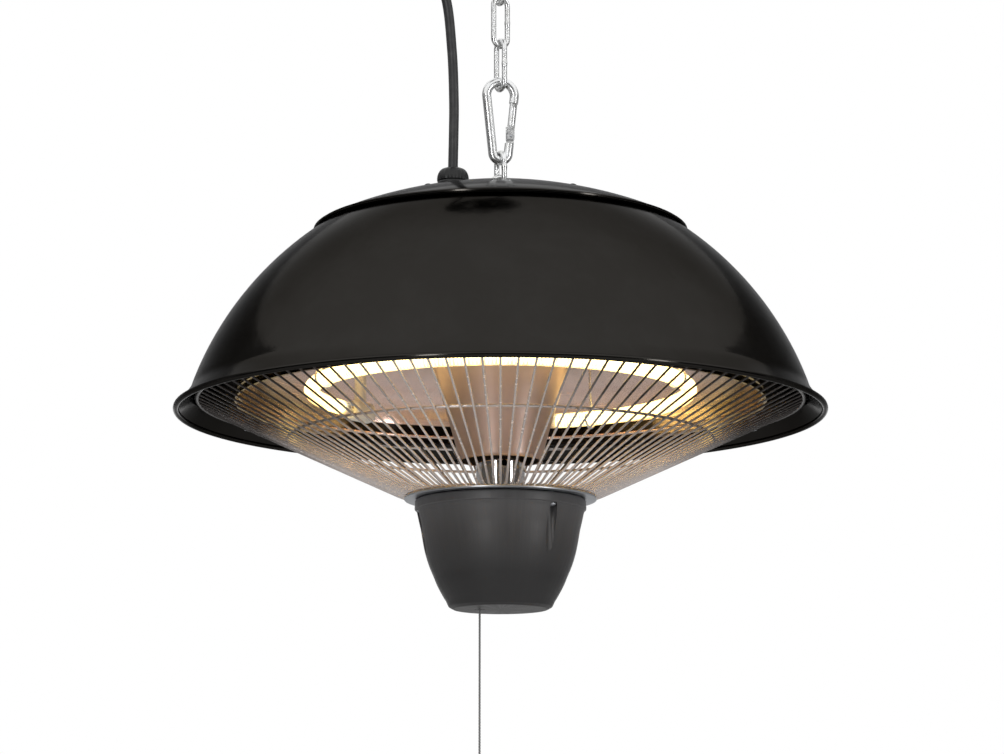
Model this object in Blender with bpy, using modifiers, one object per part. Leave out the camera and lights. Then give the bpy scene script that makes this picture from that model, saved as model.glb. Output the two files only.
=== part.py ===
"""Hanging patio heater: a round dome with a ring lamp, hung from the ceiling by a short chain.

Metres, +Z up. The origin is the middle of the ceiling plate's flat top, so the heater hangs down from it.
The chain, the snap hook and the heater are stacked from the ceiling down, each resting in the one above.
Places in the heater are given as heights over its rim, the widest circle of the dome.
"""

import math

import bmesh
import bpy
from mathutils import Matrix, Vector
from mathutils.geometry import convex_hull_2d

# Clearances
CLEAR = 0.0003
HOOK_CLEAR = 0.0006
CUT_OVERRUN = 0.004
JOIN_DEPTH = 0.001

# Ceiling plate and hook
PLATE_RADIUS = 0.030
PLATE_THICKNESS = 0.004
PLATE_CHAMFER = 0.001
PLATE_SCREW_OFFSET = 0.020
HOOK_WIRE = 0.005
HOOK_BOWL_RADIUS = 0.009
HOOK_DROP = 0.056
HOOK_TURN_DEG = 30

# Chain
LINK_COUNT = 5
LINK_WIRE = 0.0035
LINK_WIDTH = 0.014
LINK_INNER_LENGTH = 0.030
LINK_TURN_DEG = -60

# Snap hook
SNAP_WIRE = 0.006
SNAP_LENGTH = 0.060
SNAP_TOP_WIDTH = 0.0248
SNAP_BOTTOM_WIDTH = 0.0165
SNAP_TURN_DEG = 12
GATE_WIRE = 0.005
GATE_NOSE_HEIGHT = 0.0395
GATE_PIVOT_HEIGHT = 0.0165
GATE_CHEEK = 0.0011
TONGUE_THICKNESS = 0.0030
TONGUE_WIDTH = 0.0046
RIVET_RADIUS = 0.0011

# Hanger link and hanger eye
HANGER_INNER_LENGTH = 0.0176
HANGER_TURN_DEG = -62
EYE_WIRE = 0.004
EYE_WIDTH = 0.019
EYE_RISE = 0.160
EYE_LEG_END = 0.112
M4_FLATS = 0.007
M4_THICKNESS = 0.0032

# Dome shade
RIM_RADIUS = 0.2125
DOME_TOP = 0.1245
DOME_SHOULDER_RADIUS = 0.1155
DOME_WALL = 0.0012
FLARE_HEIGHT = 0.014
FLARE_REACH = 0.011
VENT_COUNT = 6
VENT_RADIUS = 0.011
VENT_INSET = 0.0355

# Top cap
CAP_OVERHANG = 0.0075
CAP_EDGE_DROP = 0.0025
CAP_RISE = 0.0317
CAP_WALL = 0.0012
CAP_STUD_CIRCLE = 0.0476
CAP_NUT_RADIUS = 0.0052
CAP_NUT_TOP = 0.156
CAP_STUD_RADIUS = 0.002
CAP_STUD_END = 0.118
CAP_SPACER_RADIUS = 0.004

# Cable gland and terminal block
GLAND_X = -0.0314
GLAND_RADIUS = 0.0105
GLAND_TOP = 0.166
GLAND_SEAM = 0.157
GLAND_STEM_RADIUS = 0.006
GLAND_STEM_END = 0.139
LOCK_NUT_FLATS = 0.018
LOCK_NUT_THICKNESS = 0.004
BLOCK_SIZE = (0.030, 0.016, 0.014)
BLOCK_X = -0.036
BLOCK_Y = 0.035

# Power cable
CABLE_DIAMETER = 0.0065
COIL_INNER_RADIUS = 0.0275
COIL_TURNS = 6.05
COIL_PITCH = 0.0071
COIL_LAYER_STEP = 0.0072
COIL_X = -0.025
COIL_FRONT = 0.0195
COIL_LIFT = 0.0045
STRAP_HEIGHT = 0.010
STRAP_THICKNESS = 0.001
STRAP_CLEAR = 0.0008

# Mains plug
PLUG_SHIFT = 0.007
PLUG_FRONT = 0.050
PLUG_TOP_LIFT = 0.002
RELIEF_LENGTH = 0.022
RELIEF_RADIUS = 0.0055
PLUG_LENGTH = 0.034
PLUG_RADIUS = 0.018
PIN_LENGTH = 0.019
PIN_RADIUS = 0.0024
PIN_SPACING = 0.019

# Reflector
HEM_INSET = 0.0405
HEM_HEIGHT = 0.0075
HEM_BAND = 0.005
HEM_STEP = 0.0012
TROUGH_INSET = 0.054
TROUGH_HEIGHT = 0.062
DISH_INNER_RADIUS = 0.054
DISH_INNER_HEIGHT = 0.046
DISH_HOLE_RADIUS = 0.050
DISH_WALL = 0.001
CONE_FOOT_RADIUS = 0.027
CONE_FOOT_HEIGHT = -0.035
CONE_FLANGE = 0.004
CONE_WALL = 0.001
STUD_INSET = 0.0155
STUD_RADIUS = 0.003

# Ring lamp
LAMP_INSET = 0.049
LAMP_HEIGHT = 0.0165
LAMP_RADIUS = 0.005
LAMP_START_DEG = 145
LAMP_END_DEG = 455
LAMP_END_RADIUS = 0.007
LAMP_END_LENGTH = 0.020
LAMP_STEM_RADIUS = 0.004
CLIP_WIRE = 0.002
LAMP_CLIP_ANGLES_DEG = (205, 335, 60)

# Centre tube
TUBE_RADIUS = 0.016
TUBE_WALL = 0.0012
TUBE_FLANGE_RADIUS = 0.026
TUBE_FLANGE = 0.0015
TUBE_COLLAR_RADIUS = 0.020
TUBE_COLLAR = 0.002
TUBE_TAIL = 0.011
TUBE_NUT_FLATS = 0.042
TUBE_NUT_THICKNESS = 0.005

# Wire guard
GUARD_WIRES = 108
GUARD_WIRE = 0.002
GUARD_RING_GAP = 0.0045
GUARD_RING_WIRE = 0.003
GUARD_RING_HEIGHT = 0.0092
GUARD_SLOPE_DEG = 24.9
GUARD_BEND_RADIUS = 0.067
GUARD_BEND_FALL = 0.0012
GUARD_INNER_RADIUS = 0.057
HOOP_RADIUS = 0.1384
HOOP_WIRE = 0.0025
GUARD_PLATE_RADIUS = 0.0625
GUARD_PLATE_THICKNESS = 0.0014
GUARD_CLIP_ANGLES_DEG = (30, 150, 270)
GUARD_CLIP_WIDTH = 0.010
GUARD_CLIP_THICKNESS = 0.0012
GUARD_CLIP_RISE = 0.024
GUARD_CLIP_HOOK = 0.0034

# Switch cup
CUP_RADIUS = 0.0557
CUP_DEPTH = 0.0706
CUP_WALL = 0.0022
LIP_HEIGHT = 0.0066
LIP_STEP = 0.0006
RECESS_RADIUS = 0.0036
RECESS_CIRCLE = 0.0515
RECESS_ANGLES_DEG = (-51, 69, 189)
RECESS_LENGTH = 0.042
BOSS_RADIUS = 0.0068
BOSS_CIRCLE = 0.049
CUP_SCREW_RADIUS = 0.0017
CUP_SCREW_HEAD_RADIUS = 0.003
CUP_SCREW_HEAD = 0.002
CUP_SCREW_LENGTH = 0.010

# Pull switch and pull cord
CORD_X = -0.0134
CORD_DIAMETER = 0.0015
BUSH_RADIUS = 0.003
BUSH_BORE_RADIUS = 0.0011
BUSH_FLANGE_RADIUS = 0.0045
BUSH_FLANGE = 0.0012
SWITCH_LENGTH = 0.026
SWITCH_WIDTH = 0.018
SWITCH_HEIGHT = 0.014
SWITCH_EDGE_X = -0.008
EAR_THICKNESS = 0.0025
EAR_LENGTH = 0.008
ARM_WIDTH = 0.0054
ARM_THICKNESS = 0.003
ARM_LENGTH = 0.0214
ARM_OVERHANG = 0.0026
ARM_LIFT = 0.010
ARM_PIN_RADIUS = 0.0015
CORD_VISIBLE = 0.109
KNOB_LENGTH = 0.033
KNOB_RADIUS = 0.009

# Steps of the large turned pieces
DOME_STEPS = 40
CAP_STEPS = 36
DISH_STEPS = 36
CUP_STEPS = 28

# Outlines as shares of the sizes that they follow
FLARE_SHARES = ((0.22, 0.75), (0.62, 0.36), (0.93, 0.10), (1.00, -0.02))
CAP_SHARES = (0.22, 0.45, 0.68, 0.86, 0.96, 1.0)
CUP_SHARES = ((0.973, 0.108), (0.925, 0.275), (0.874, 0.487), (0.777, 0.700), (0.695, 0.841), (0.618, 0.940))
KNOB_SHARES = ((0.18, 0.0), (0.30, 0.03), (0.36, 0.20), (0.60, 0.42), (0.90, 0.66), (1.0, 0.82), (0.86, 0.96))
PLUG_SHARES = ((0.55, 0.0), (0.72, 0.10), (0.80, 0.35), (0.88, 0.68), (1.0, 0.74), (1.0, 0.97), (0.96, 1.0))
CAP_NUT_SHARES = ((0.45, 0.05), (0.80, 0.28), (0.88, 0.52), (1.0, 0.55))
GLAND_NUT_SHARES = ((0.55, 0.0), (0.82, 0.16), (0.98, 0.50))
RELIEF_SPREAD_SHARE = 1.2
CAP_SLOPE_SHARE = 1.1
LAMP_SEAT_SHARE = 1.5
CUP_FOOT_SHARE = 0.91
HOOK_NECK_SHARE = 0.083
HOOK_CURVE_SHARE = 0.625
CAP_CURVE_SHARE = 1.624
CAP_SHOULDER_SHARE = 1.163
CONE_CURVE_SHARE = 1.15

# Free cable from the gland up to the coil, chosen by hand: x, y and height over the rim
CABLE_ROUTE = (
    (-0.0314, 0.0, 0.1663),
    (-0.0313, 0.0, 0.1730),
    (-0.0310, 0.0, 0.1900),
    (-0.0309, 0.0, 0.2130),
    (-0.0323, -0.0015, 0.2470),
    (-0.0365, -0.0050, 0.2820),
    (-0.0475, -0.0095, 0.3060),
    (-0.0620, -0.0150, 0.3270),
    (-0.0712, -0.0185, 0.3420),
)

# Lead from the coil to the plug, chosen by hand: x and height from the coil's middle, and y
LEAD_ROUTE = (
    (-0.0385, 0.0320, -0.0300),
    (-0.0212, 0.0402, -0.0365),
    (-0.0053, 0.0367, -0.0425),
    (0.0050, 0.0255, -0.0475),
    (0.0070, 0.0130, -0.0498),
)

# Sizes that follow from the dome's rim and shoulder
DOME_FOOT_RADIUS = RIM_RADIUS - FLARE_REACH
CAP_RADIUS = DOME_SHOULDER_RADIUS + CAP_OVERHANG
CAP_EDGE = DOME_TOP - CAP_EDGE_DROP
HEM_RADIUS = RIM_RADIUS - HEM_INSET
TROUGH_RADIUS = HEM_RADIUS - TROUGH_INSET
LAMP_CIRCLE = HEM_RADIUS - LAMP_INSET
STUD_CIRCLE = DOME_SHOULDER_RADIUS - STUD_INSET
VENT_CIRCLE = DOME_SHOULDER_RADIUS - VENT_INSET
GUARD_RING_RADIUS = DOME_FOOT_RADIUS - GUARD_RING_GAP


def dome_sphere():
    """Radius of the sphere through the dome's shoulder and foot, and how far its middle is below the rim."""
    foot = DOME_FOOT_RADIUS ** 2 + FLARE_HEIGHT ** 2
    shoulder = DOME_SHOULDER_RADIUS ** 2 + DOME_TOP ** 2
    drop = (foot - shoulder) / (2 * (DOME_TOP - FLARE_HEIGHT))
    return math.hypot(DOME_FOOT_RADIUS, FLARE_HEIGHT + drop), drop


DOME_SPHERE_RADIUS, DOME_SPHERE_DROP = dome_sphere()

# Heights that follow from the stack, all from the ceiling plate's top
LINK_ARC = (LINK_WIDTH - LINK_WIRE) / 2
LINK_SPAN = LINK_INNER_LENGTH + LINK_WIRE
HANGER_SPAN = HANGER_INNER_LENGTH + LINK_WIRE
SNAP_SPAN = SNAP_LENGTH - SNAP_WIRE


def stack():
    """Heights of the end wires of each link, top and bottom, from the hook down, and of the eye."""
    ends = []
    top = -HOOK_DROP + (HOOK_WIRE + LINK_WIRE) / 2 + CLEAR
    for _ in range(LINK_COUNT):
        ends.append((top, top - LINK_SPAN))
        top = top - LINK_SPAN + LINK_WIRE + CLEAR
    snap_top = ends[-1][1] + (LINK_WIRE + SNAP_WIRE) / 2 + HOOK_CLEAR
    snap = (snap_top, snap_top - SNAP_SPAN)
    hanger_top = snap[1] + (LINK_WIRE + SNAP_WIRE) / 2 + HOOK_CLEAR
    hanger = (hanger_top, hanger_top - HANGER_SPAN)
    eye = hanger[1] + (LINK_WIRE + EYE_WIRE) / 2 + HOOK_CLEAR
    return ends, snap, hanger, eye


LINK_ENDS, SNAP_ENDS, HANGER_ENDS, EYE_TOP = stack()
RIM_Z = EYE_TOP - EYE_RISE
COIL_Z = (LINK_ENDS[0][0] + LINK_ENDS[0][1]) / 2 + COIL_LIFT


def over_rim(height):
    """World height of a place in the heater."""
    return RIM_Z + height


# Scene and materials
for old in list(bpy.data.objects):
    bpy.data.objects.remove(old, do_unlink=True)

PARTS = bpy.data.collections.new("hanging_patio_heater")
CUTTERS = bpy.data.collections.new("cutters")
bpy.context.scene.collection.children.link(PARTS)
bpy.context.scene.collection.children.link(CUTTERS)


def finish(name, colour, roughness, metallic=0.0):
    """Make a plain Principled material."""
    material = bpy.data.materials.new(name)
    material.use_nodes = True
    shader = material.node_tree.nodes["Principled BSDF"]
    shader.inputs["Base Color"].default_value = (*colour, 1.0)
    shader.inputs["Roughness"].default_value = roughness
    shader.inputs["Metallic"].default_value = metallic
    return material


BLACK_ENAMEL = finish("black_enamel", (0.012, 0.012, 0.013), 0.25)
CHARCOAL_PAINT = finish("charcoal_paint", (0.035, 0.037, 0.042), 0.45)
COPPER_MIRROR = finish("copper_reflector", (0.72, 0.40, 0.30), 0.18, 1.0)
CHROME = finish("chrome", (0.80, 0.81, 0.83), 0.08, 1.0)
ZINC = finish("zinc_wire", (0.55, 0.57, 0.60), 0.30, 1.0)
SATIN_STEEL = finish("satin_steel", (0.42, 0.45, 0.50), 0.35, 1.0)
CERAMIC = finish("white_ceramic", (0.80, 0.78, 0.72), 0.55)
LAMP_GLASS = finish("lamp_glass", (0.85, 0.84, 0.80), 0.10)
BLACK_PLASTIC = finish("black_plastic", (0.015, 0.015, 0.016), 0.40)
CABLE_RUBBER = finish("cable_rubber", (0.020, 0.020, 0.022), 0.55)
GREY_CORD = finish("grey_cord", (0.13, 0.13, 0.13), 0.75)


# Modelling helpers
def keep(obj, material):
    """Put an object in the parts collection with its material."""
    obj.data.materials.clear()
    obj.data.materials.append(material)
    for holder in list(obj.users_collection):
        holder.objects.unlink(obj)
    PARTS.objects.link(obj)
    return obj


def as_tool(obj):
    """Make an object a cutter, which the model only uses."""
    for holder in list(obj.users_collection):
        holder.objects.unlink(obj)
    CUTTERS.objects.link(obj)
    obj.hide_render = True
    obj.display_type = "WIRE"
    return obj


def combine(target, tool, operation):
    """Cut the tool from the target, or join it to the target."""
    modifier = target.modifiers.new(tool.name, "BOOLEAN")
    modifier.solver = "EXACT"
    modifier.operation = operation
    modifier.object = as_tool(tool)


def clockwise(points):
    """Order a closed outline so that its outer side runs from top to bottom."""
    area = 0.0
    for (r0, z0), (r1, z1) in zip(points, points[1:] + points[:1]):
        area += r0 * z1 - r1 * z0
    return list(points) if area < 0 else list(reversed(points))


def turned(name, outline, steps, material, place=(0.0, 0.0, 0.0)):
    """Turn a closed outline of (radius, height) about a vertical axis through the place.

    Where the outline's ends lie on the axis it is left open there, and the turned ends meet.
    """
    points = clockwise(outline)
    on_axis = [index for index, point in enumerate(points) if point[0] == 0.0]
    if on_axis:
        while not (points[0][0] == 0.0 and points[-1][0] == 0.0):
            points = points[1:] + points[:1]
    mesh = bpy.data.meshes.new(name)
    edges = [(index, index + 1) for index in range(len(points) - 1)]
    if not on_axis:
        edges.append((len(points) - 1, 0))
    mesh.from_pydata([(r, 0.0, z) for r, z in points], edges, [])
    obj = bpy.data.objects.new(name, mesh)
    obj.location = place
    screw = obj.modifiers.new("turn", "SCREW")
    screw.axis = "Z"
    screw.angle = math.tau
    screw.steps = steps
    screw.render_steps = steps
    screw.use_merge_vertices = True
    screw.merge_threshold = 1e-6
    screw.use_smooth_shade = True
    return keep(obj, material)


def offset_line(points, distance):
    """Shift a line of (radius, height) to its right by a distance, as seen going along it."""
    shifted = []
    for index, point in enumerate(points):
        here = Vector(point)
        sides = []
        if index > 0:
            sides.append((here - Vector(points[index - 1])).normalized())
        if index < len(points) - 1:
            sides.append((Vector(points[index + 1]) - here).normalized())
        normals = [Vector((side.y, -side.x)) for side in sides]
        mean = sum(normals, Vector((0.0, 0.0))).normalized()
        moved = here + mean * (distance / mean.dot(normals[0]))
        shifted.append((max(moved.x, 0.0) if point[0] > 0.0 else 0.0, moved.y))
    return shifted


def shell(line, wall):
    """Close a line into a wall: the line itself and its copy, shifted to its right."""
    return list(line) + list(reversed(offset_line(line, wall)))


def cylinder(name, radius, low, high, sides=24):
    """A closed cylinder between two points."""
    low, high = Vector(low), Vector(high)
    axis = high - low
    mesh = bpy.data.meshes.new(name)
    work = bmesh.new()
    bmesh.ops.create_cone(
        work, cap_ends=True, segments=sides, radius1=radius, radius2=radius, depth=axis.length
    )
    turn = axis.to_track_quat("Z", "Y").to_matrix().to_4x4()
    bmesh.ops.transform(work, matrix=Matrix.Translation((low + high) / 2) @ turn, verts=work.verts)
    work.to_mesh(mesh)
    work.free()
    obj = bpy.data.objects.new(name, mesh)
    bpy.context.scene.collection.objects.link(obj)
    return obj


def drill(target, name, holes, low, high, sides=12):
    """Cut round upright holes, each given as (x, y, radius), between two heights.

    The flats of each hole touch its circle, so that a round piece of that radius passes.
    """
    mesh = bpy.data.meshes.new(name)
    work = bmesh.new()
    for x, y, radius in holes:
        spot = Matrix.Translation((x, y, (low + high) / 2))
        corner = radius / math.cos(math.pi / sides)
        bmesh.ops.create_cone(
            work, cap_ends=True, segments=sides, radius1=corner, radius2=corner, depth=high - low,
            matrix=spot,
        )
    work.to_mesh(mesh)
    work.free()
    tool = bpy.data.objects.new(name, mesh)
    combine(target, tool, "DIFFERENCE")


def box(name, low, high):
    """A closed box between two corners."""
    low, high = Vector(low), Vector(high)
    mesh = bpy.data.meshes.new(name)
    work = bmesh.new()
    bmesh.ops.create_cube(work, size=1.0)
    size = high - low
    scale = Matrix.Diagonal((*size, 1.0))
    bmesh.ops.transform(work, matrix=Matrix.Translation((low + high) / 2) @ scale, verts=work.verts)
    work.to_mesh(mesh)
    work.free()
    obj = bpy.data.objects.new(name, mesh)
    bpy.context.scene.collection.objects.link(obj)
    return obj


def soften(obj, width, segments=1):
    """Round the sharp edges of a boxy piece."""
    bevel = obj.modifiers.new("soft edges", "BEVEL")
    bevel.width = width
    bevel.segments = segments
    bevel.limit_method = "ANGLE"


def tube(name, points, radius, material, closed=False, resolution=2):
    """A round wire or cord along the points."""
    curve = bpy.data.curves.new(name, "CURVE")
    curve.dimensions = "3D"
    curve.bevel_depth = radius
    curve.bevel_resolution = resolution
    curve.use_fill_caps = not closed
    spline = curve.splines.new("POLY")
    spline.points.add(len(points) - 1)
    for target, point in zip(spline.points, points):
        target.co = (*point, 1.0)
    spline.use_cyclic_u = closed
    spline.use_smooth = True
    return keep(bpy.data.objects.new(name, curve), material)


def tube_as_mesh(name, points, radius, material, resolution=2):
    """A tube made a mesh, so that it can be cut or joined."""
    source = tube(name, points, radius, material, resolution=resolution)
    source.name = name + "_curve"
    bpy.context.view_layer.update()
    graph = bpy.context.evaluated_depsgraph_get()
    mesh = bpy.data.meshes.new_from_object(source.evaluated_get(graph))
    work = bmesh.new()
    work.from_mesh(mesh)
    bmesh.ops.remove_doubles(work, verts=work.verts, dist=1e-6)
    bmesh.ops.recalc_face_normals(work, faces=work.faces)
    work.to_mesh(mesh)
    work.free()
    obj = bpy.data.objects.new(name, mesh)
    obj.matrix_world = source.matrix_world
    bpy.data.objects.remove(source, do_unlink=True)
    return keep(obj, material)


def smooth_line(points, count):
    """Read a number of points, evenly, from a smooth curve through the given points."""
    knots = [Vector(point) for point in points]
    padded = [2 * knots[0] - knots[1]] + knots + [2 * knots[-1] - knots[-2]]
    spans = len(knots) - 1
    dense = []
    for index in range(spans):
        before, start, end, after = padded[index:index + 4]
        for step in range(24):
            t = step / 24
            dense.append(
                0.5 * (2 * start + (end - before) * t
                       + (2 * before - 5 * start + 4 * end - after) * t ** 2
                       + (3 * start - before - 3 * end + after) * t ** 3)
            )
    dense.append(knots[-1])
    lengths = [0.0]
    for first, second in zip(dense, dense[1:]):
        lengths.append(lengths[-1] + (second - first).length)
    result = []
    cursor = 0
    for step in range(count):
        target = lengths[-1] * step / (count - 1)
        while cursor < len(lengths) - 2 and lengths[cursor + 1] < target:
            cursor += 1
        span = lengths[cursor + 1] - lengths[cursor]
        result.append(dense[cursor].lerp(dense[cursor + 1], (target - lengths[cursor]) / span))
    return result


def arc(centre, radius, start_deg, end_deg, count):
    """Points on an arc in a plane of two axes."""
    points = []
    for step in range(count):
        angle = math.radians(start_deg + (end_deg - start_deg) * step / (count - 1))
        points.append((centre[0] + radius * math.cos(angle), centre[1] + radius * math.sin(angle)))
    return points


def upright(points, turn_deg, x=0.0, y=0.0):
    """Stand a flat line of (along, height) in a vertical plane turned about Z."""
    turn = math.radians(turn_deg)
    return [(x + u * math.cos(turn), y + u * math.sin(turn), z) for u, z in points]


def sag(radius, steps):
    """How far the middle of a facet lies inside the circle that a turned piece follows."""
    return radius * (1 - math.cos(math.pi / steps))


def around(radius, angle_deg):
    """The point at a radius and an angle about the Z axis, as x and y."""
    angle = math.radians(angle_deg)
    return radius * math.cos(angle), radius * math.sin(angle)


def hex_nut(name, flats, thickness, bore, place, material):
    """A six sided nut whose top face is at the place."""
    x, y, top = place
    obj = cylinder(name, flats / math.sqrt(3), (x, y, top - thickness), (x, y, top), sides=6)
    keep(obj, material)
    drill(obj, name + "_bore", [(x, y, bore)], top - thickness - CUT_OVERRUN, top + CUT_OVERRUN)
    return obj


def screw_below(name, x, y, seat, shank, head, head_height, length, material):
    """A round headed screw driven upward: the seat is the height under which its head rests."""
    outline = [
        (0.0, length),
        (shank, length),
        (shank, 0.0),
        (head, 0.0),
        (head, -head_height / 2),
        (head / 2, -head_height),
        (0.0, -head_height),
    ]
    return turned(name, outline, 12, material, (x, y, seat))


def strip(name, line, angle_deg, width, thickness, material):
    """A bent strip of sheet: a line of (radius, height), as wide as given, at an angle about Z."""
    mesh = bpy.data.meshes.new(name)
    rows = [(r, side * width / 2, z) for r, z in line for side in (-1, 1)]
    faces = [(i, i + 1, i + 3, i + 2) for i in range(0, len(rows) - 2, 2)]
    mesh.from_pydata(rows, [], faces)
    obj = bpy.data.objects.new(name, mesh)
    obj.location = (0.0, 0.0, RIM_Z)
    obj.rotation_euler = (0.0, 0.0, math.radians(angle_deg))
    sheet = obj.modifiers.new("sheet", "SOLIDIFY")
    sheet.thickness = thickness
    sheet.offset = 0.0
    sheet.use_even_offset = True
    return keep(obj, material)


# Ceiling plate, screws and hook
def make_ceiling():
    """The plate that is screwed to the ceiling, and the open hook under it."""
    outline = [
        (0.0, 0.0),
        (PLATE_RADIUS, 0.0),
        (PLATE_RADIUS, PLATE_CHAMFER - PLATE_THICKNESS),
        (PLATE_RADIUS - PLATE_CHAMFER, -PLATE_THICKNESS),
        (0.0, -PLATE_THICKNESS),
    ]
    plate = turned("ceiling_plate", outline, 28, ZINC)
    shank = 0.002
    holes = [(side * PLATE_SCREW_OFFSET, 0.0, shank + CLEAR) for side in (-1, 1)]
    drill(plate, "plate_holes", holes, -PLATE_THICKNESS - CUT_OVERRUN, CUT_OVERRUN)
    names = (("ceiling_screw_left", -1), ("ceiling_screw_right", 1))
    pieces = [plate]
    for name, side in names:
        seat = -PLATE_THICKNESS - CLEAR
        pieces.append(screw_below(
            name, side * PLATE_SCREW_OFFSET, 0.0, seat, shank, 2 * shank, shank, PLATE_THICKNESS, ZINC
        ))
    bowl = -HOOK_DROP + HOOK_BOWL_RADIUS
    neck = (-PLATE_THICKNESS - CLEAR + bowl) / 2
    entry = [
        (0.0, -PLATE_THICKNESS - CLEAR, 0.0),
        (0.0, (neck - PLATE_THICKNESS) / 2, 0.0),
        (-HOOK_BOWL_RADIUS * HOOK_NECK_SHARE, neck, 0.0),
        (-HOOK_BOWL_RADIUS * HOOK_CURVE_SHARE, (neck + bowl) / 2, 0.0),
        (-HOOK_BOWL_RADIUS, bowl, 0.0),
    ]
    line = [(point[0], point[1]) for point in smooth_line(entry, 12)]
    line += arc((0.0, bowl), HOOK_BOWL_RADIUS, 180, 385, 15)[1:]
    pieces.append(tube("ceiling_hook", upright(line, HOOK_TURN_DEG), HOOK_WIRE / 2, ZINC, resolution=1))
    return pieces


# Chain
def link_line(ends, arc_steps=6):
    """Centre line of a link between its end wires, as (along, height), without closing it."""
    top, bottom = ends[0] - LINK_ARC, ends[1] + LINK_ARC
    upper = arc((0.0, top), LINK_ARC, 0, 180, arc_steps)
    lower = arc((0.0, bottom), LINK_ARC, 180, 360, arc_steps)
    return upper + lower


def make_chain():
    """The chain links, counted from the heater up, so link 1 carries the snap hook."""
    pieces = []
    for index, ends in enumerate(LINK_ENDS):
        turn = LINK_TURN_DEG + 90 * (index % 2)
        line = upright(link_line(ends), turn)
        name = f"chain_link_{LINK_COUNT - index}"
        pieces.append(tube(name, line, LINK_WIRE / 2, ZINC, closed=True, resolution=1))
    return pieces


# Snap hook
def snap_edges():
    """Middle heights and radii of the snap hook's wide top bend and narrow bottom bend."""
    top_arc = (SNAP_TOP_WIDTH - SNAP_WIRE) / 2
    bottom_arc = (SNAP_BOTTOM_WIDTH - SNAP_WIRE) / 2
    return top_arc, SNAP_ENDS[0] - top_arc, bottom_arc, SNAP_ENDS[1] + bottom_arc


def gate_x(height):
    """How far out the gate's middle line lies at a height."""
    top_arc, top_z, bottom_arc, bottom_z = snap_edges()
    share = (height - bottom_z) / (top_z - bottom_z)
    return bottom_arc + (top_arc - bottom_arc) * share


def in_snap_plane(u, side, z):
    """A point of the snap hook: along its plane, square to it, and up."""
    turn = math.radians(SNAP_TURN_DEG)
    return (u * math.cos(turn) - side * math.sin(turn), u * math.sin(turn) + side * math.cos(turn), z)


def snap_box(name, low, high):
    """A box whose corners are given in the snap hook's plane."""
    obj = box(name, low, high)
    turn = Matrix.Rotation(math.radians(SNAP_TURN_DEG), 4, "Z")
    obj.data.transform(turn)
    return obj


def make_snap_hook():
    """The bent frame, its tongue, the gate with two cheeks, and the rivet that carries the gate."""
    top_arc, top_z, bottom_arc, bottom_z = snap_edges()
    pivot_z = SNAP_ENDS[1] + GATE_PIVOT_HEIGHT
    nose_z = SNAP_ENDS[1] + GATE_NOSE_HEIGHT
    pivot_u = gate_x(pivot_z)
    tongue_foot = pivot_z - TONGUE_WIDTH
    line = [(gate_x(tongue_foot), tongue_foot)]
    line += arc((0.0, bottom_z), bottom_arc, 0, -180, 11)
    line += arc((0.0, top_z), top_arc, 180, 0, 15)
    line += [(gate_x(nose_z), nose_z)]
    frame = tube_as_mesh("snap_hook_frame", upright(line, SNAP_TURN_DEG), SNAP_WIRE / 2, ZINC, resolution=1)
    half = TONGUE_WIDTH / 2
    tongue = snap_box(
        "snap_tongue",
        (pivot_u - half, -TONGUE_THICKNESS / 2, tongue_foot - JOIN_DEPTH),
        (pivot_u + half, TONGUE_THICKNESS / 2, pivot_z + half),
    )
    combine(frame, tongue, "UNION")
    cheek_out = TONGUE_THICKNESS / 2 + CLEAR + GATE_CHEEK
    gate_foot = pivot_z + half + 2 * CLEAR
    gate_line = [(gate_x(gate_foot), gate_foot), (gate_x(nose_z), nose_z - CLEAR)]
    gate = tube_as_mesh("snap_gate", upright(gate_line, SNAP_TURN_DEG), GATE_WIRE / 2, ZINC)
    for side in (-1, 1):
        near = side * (TONGUE_THICKNESS / 2 + CLEAR)
        far = side * cheek_out
        cheek = snap_box(
            "gate_cheek",
            (pivot_u - half, min(near, far), pivot_z - half),
            (pivot_u + half, max(near, far), gate_foot + TONGUE_WIDTH),
        )
        combine(gate, cheek, "UNION")
    for target in (frame, gate):
        reach = cheek_out + CUT_OVERRUN
        hole = cylinder(
            target.name + "_rivet_hole", RIVET_RADIUS + CLEAR,
            in_snap_plane(pivot_u, -reach, pivot_z), in_snap_plane(pivot_u, reach, pivot_z), sides=16,
        )
        combine(target, hole, "DIFFERENCE")
    rivet = cylinder(
        "gate_rivet", RIVET_RADIUS,
        in_snap_plane(pivot_u, -cheek_out, pivot_z), in_snap_plane(pivot_u, cheek_out, pivot_z), sides=16,
    )
    return [frame, keep(rivet, SATIN_STEEL)], gate, in_snap_plane(pivot_u, 0.0, pivot_z)


# Hanger link and hanger eye
def make_hanger_link():
    """The short link between the snap hook and the heater's eye."""
    line = upright(link_line(HANGER_ENDS), HANGER_TURN_DEG)
    return tube("hanger_link", line, LINK_WIRE / 2, ZINC, closed=True, resolution=1)


def make_eye():
    """The U bolt on the cap, through the cap and the dome, with a nut on each leg."""
    bend = (EYE_WIDTH - EYE_WIRE) / 2
    centre = EYE_TOP - bend
    line = [(bend, over_rim(EYE_LEG_END))] + arc((0.0, centre), bend, 0, 180, 13)
    line += [(-bend, over_rim(EYE_LEG_END))]
    pieces = [tube("hanger_eye", upright(line, 0), EYE_WIRE / 2, ZINC)]
    seat = over_rim(DOME_TOP - DOME_WALL - CLEAR)
    for name, side in (("eye_nut_left", -1), ("eye_nut_right", 1)):
        place = (side * bend, 0.0, seat)
        pieces.append(hex_nut(name, M4_FLATS, M4_THICKNESS, EYE_WIRE / 2 + CLEAR, place, ZINC))
    return pieces


# Dome shade
def dome_height(radius, inner=False):
    """Height over the rim of the dome's round wall at a radius."""
    sphere = DOME_SPHERE_RADIUS - (DOME_WALL if inner else 0.0)
    return math.sqrt(sphere ** 2 - radius ** 2) - DOME_SPHERE_DROP


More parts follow.
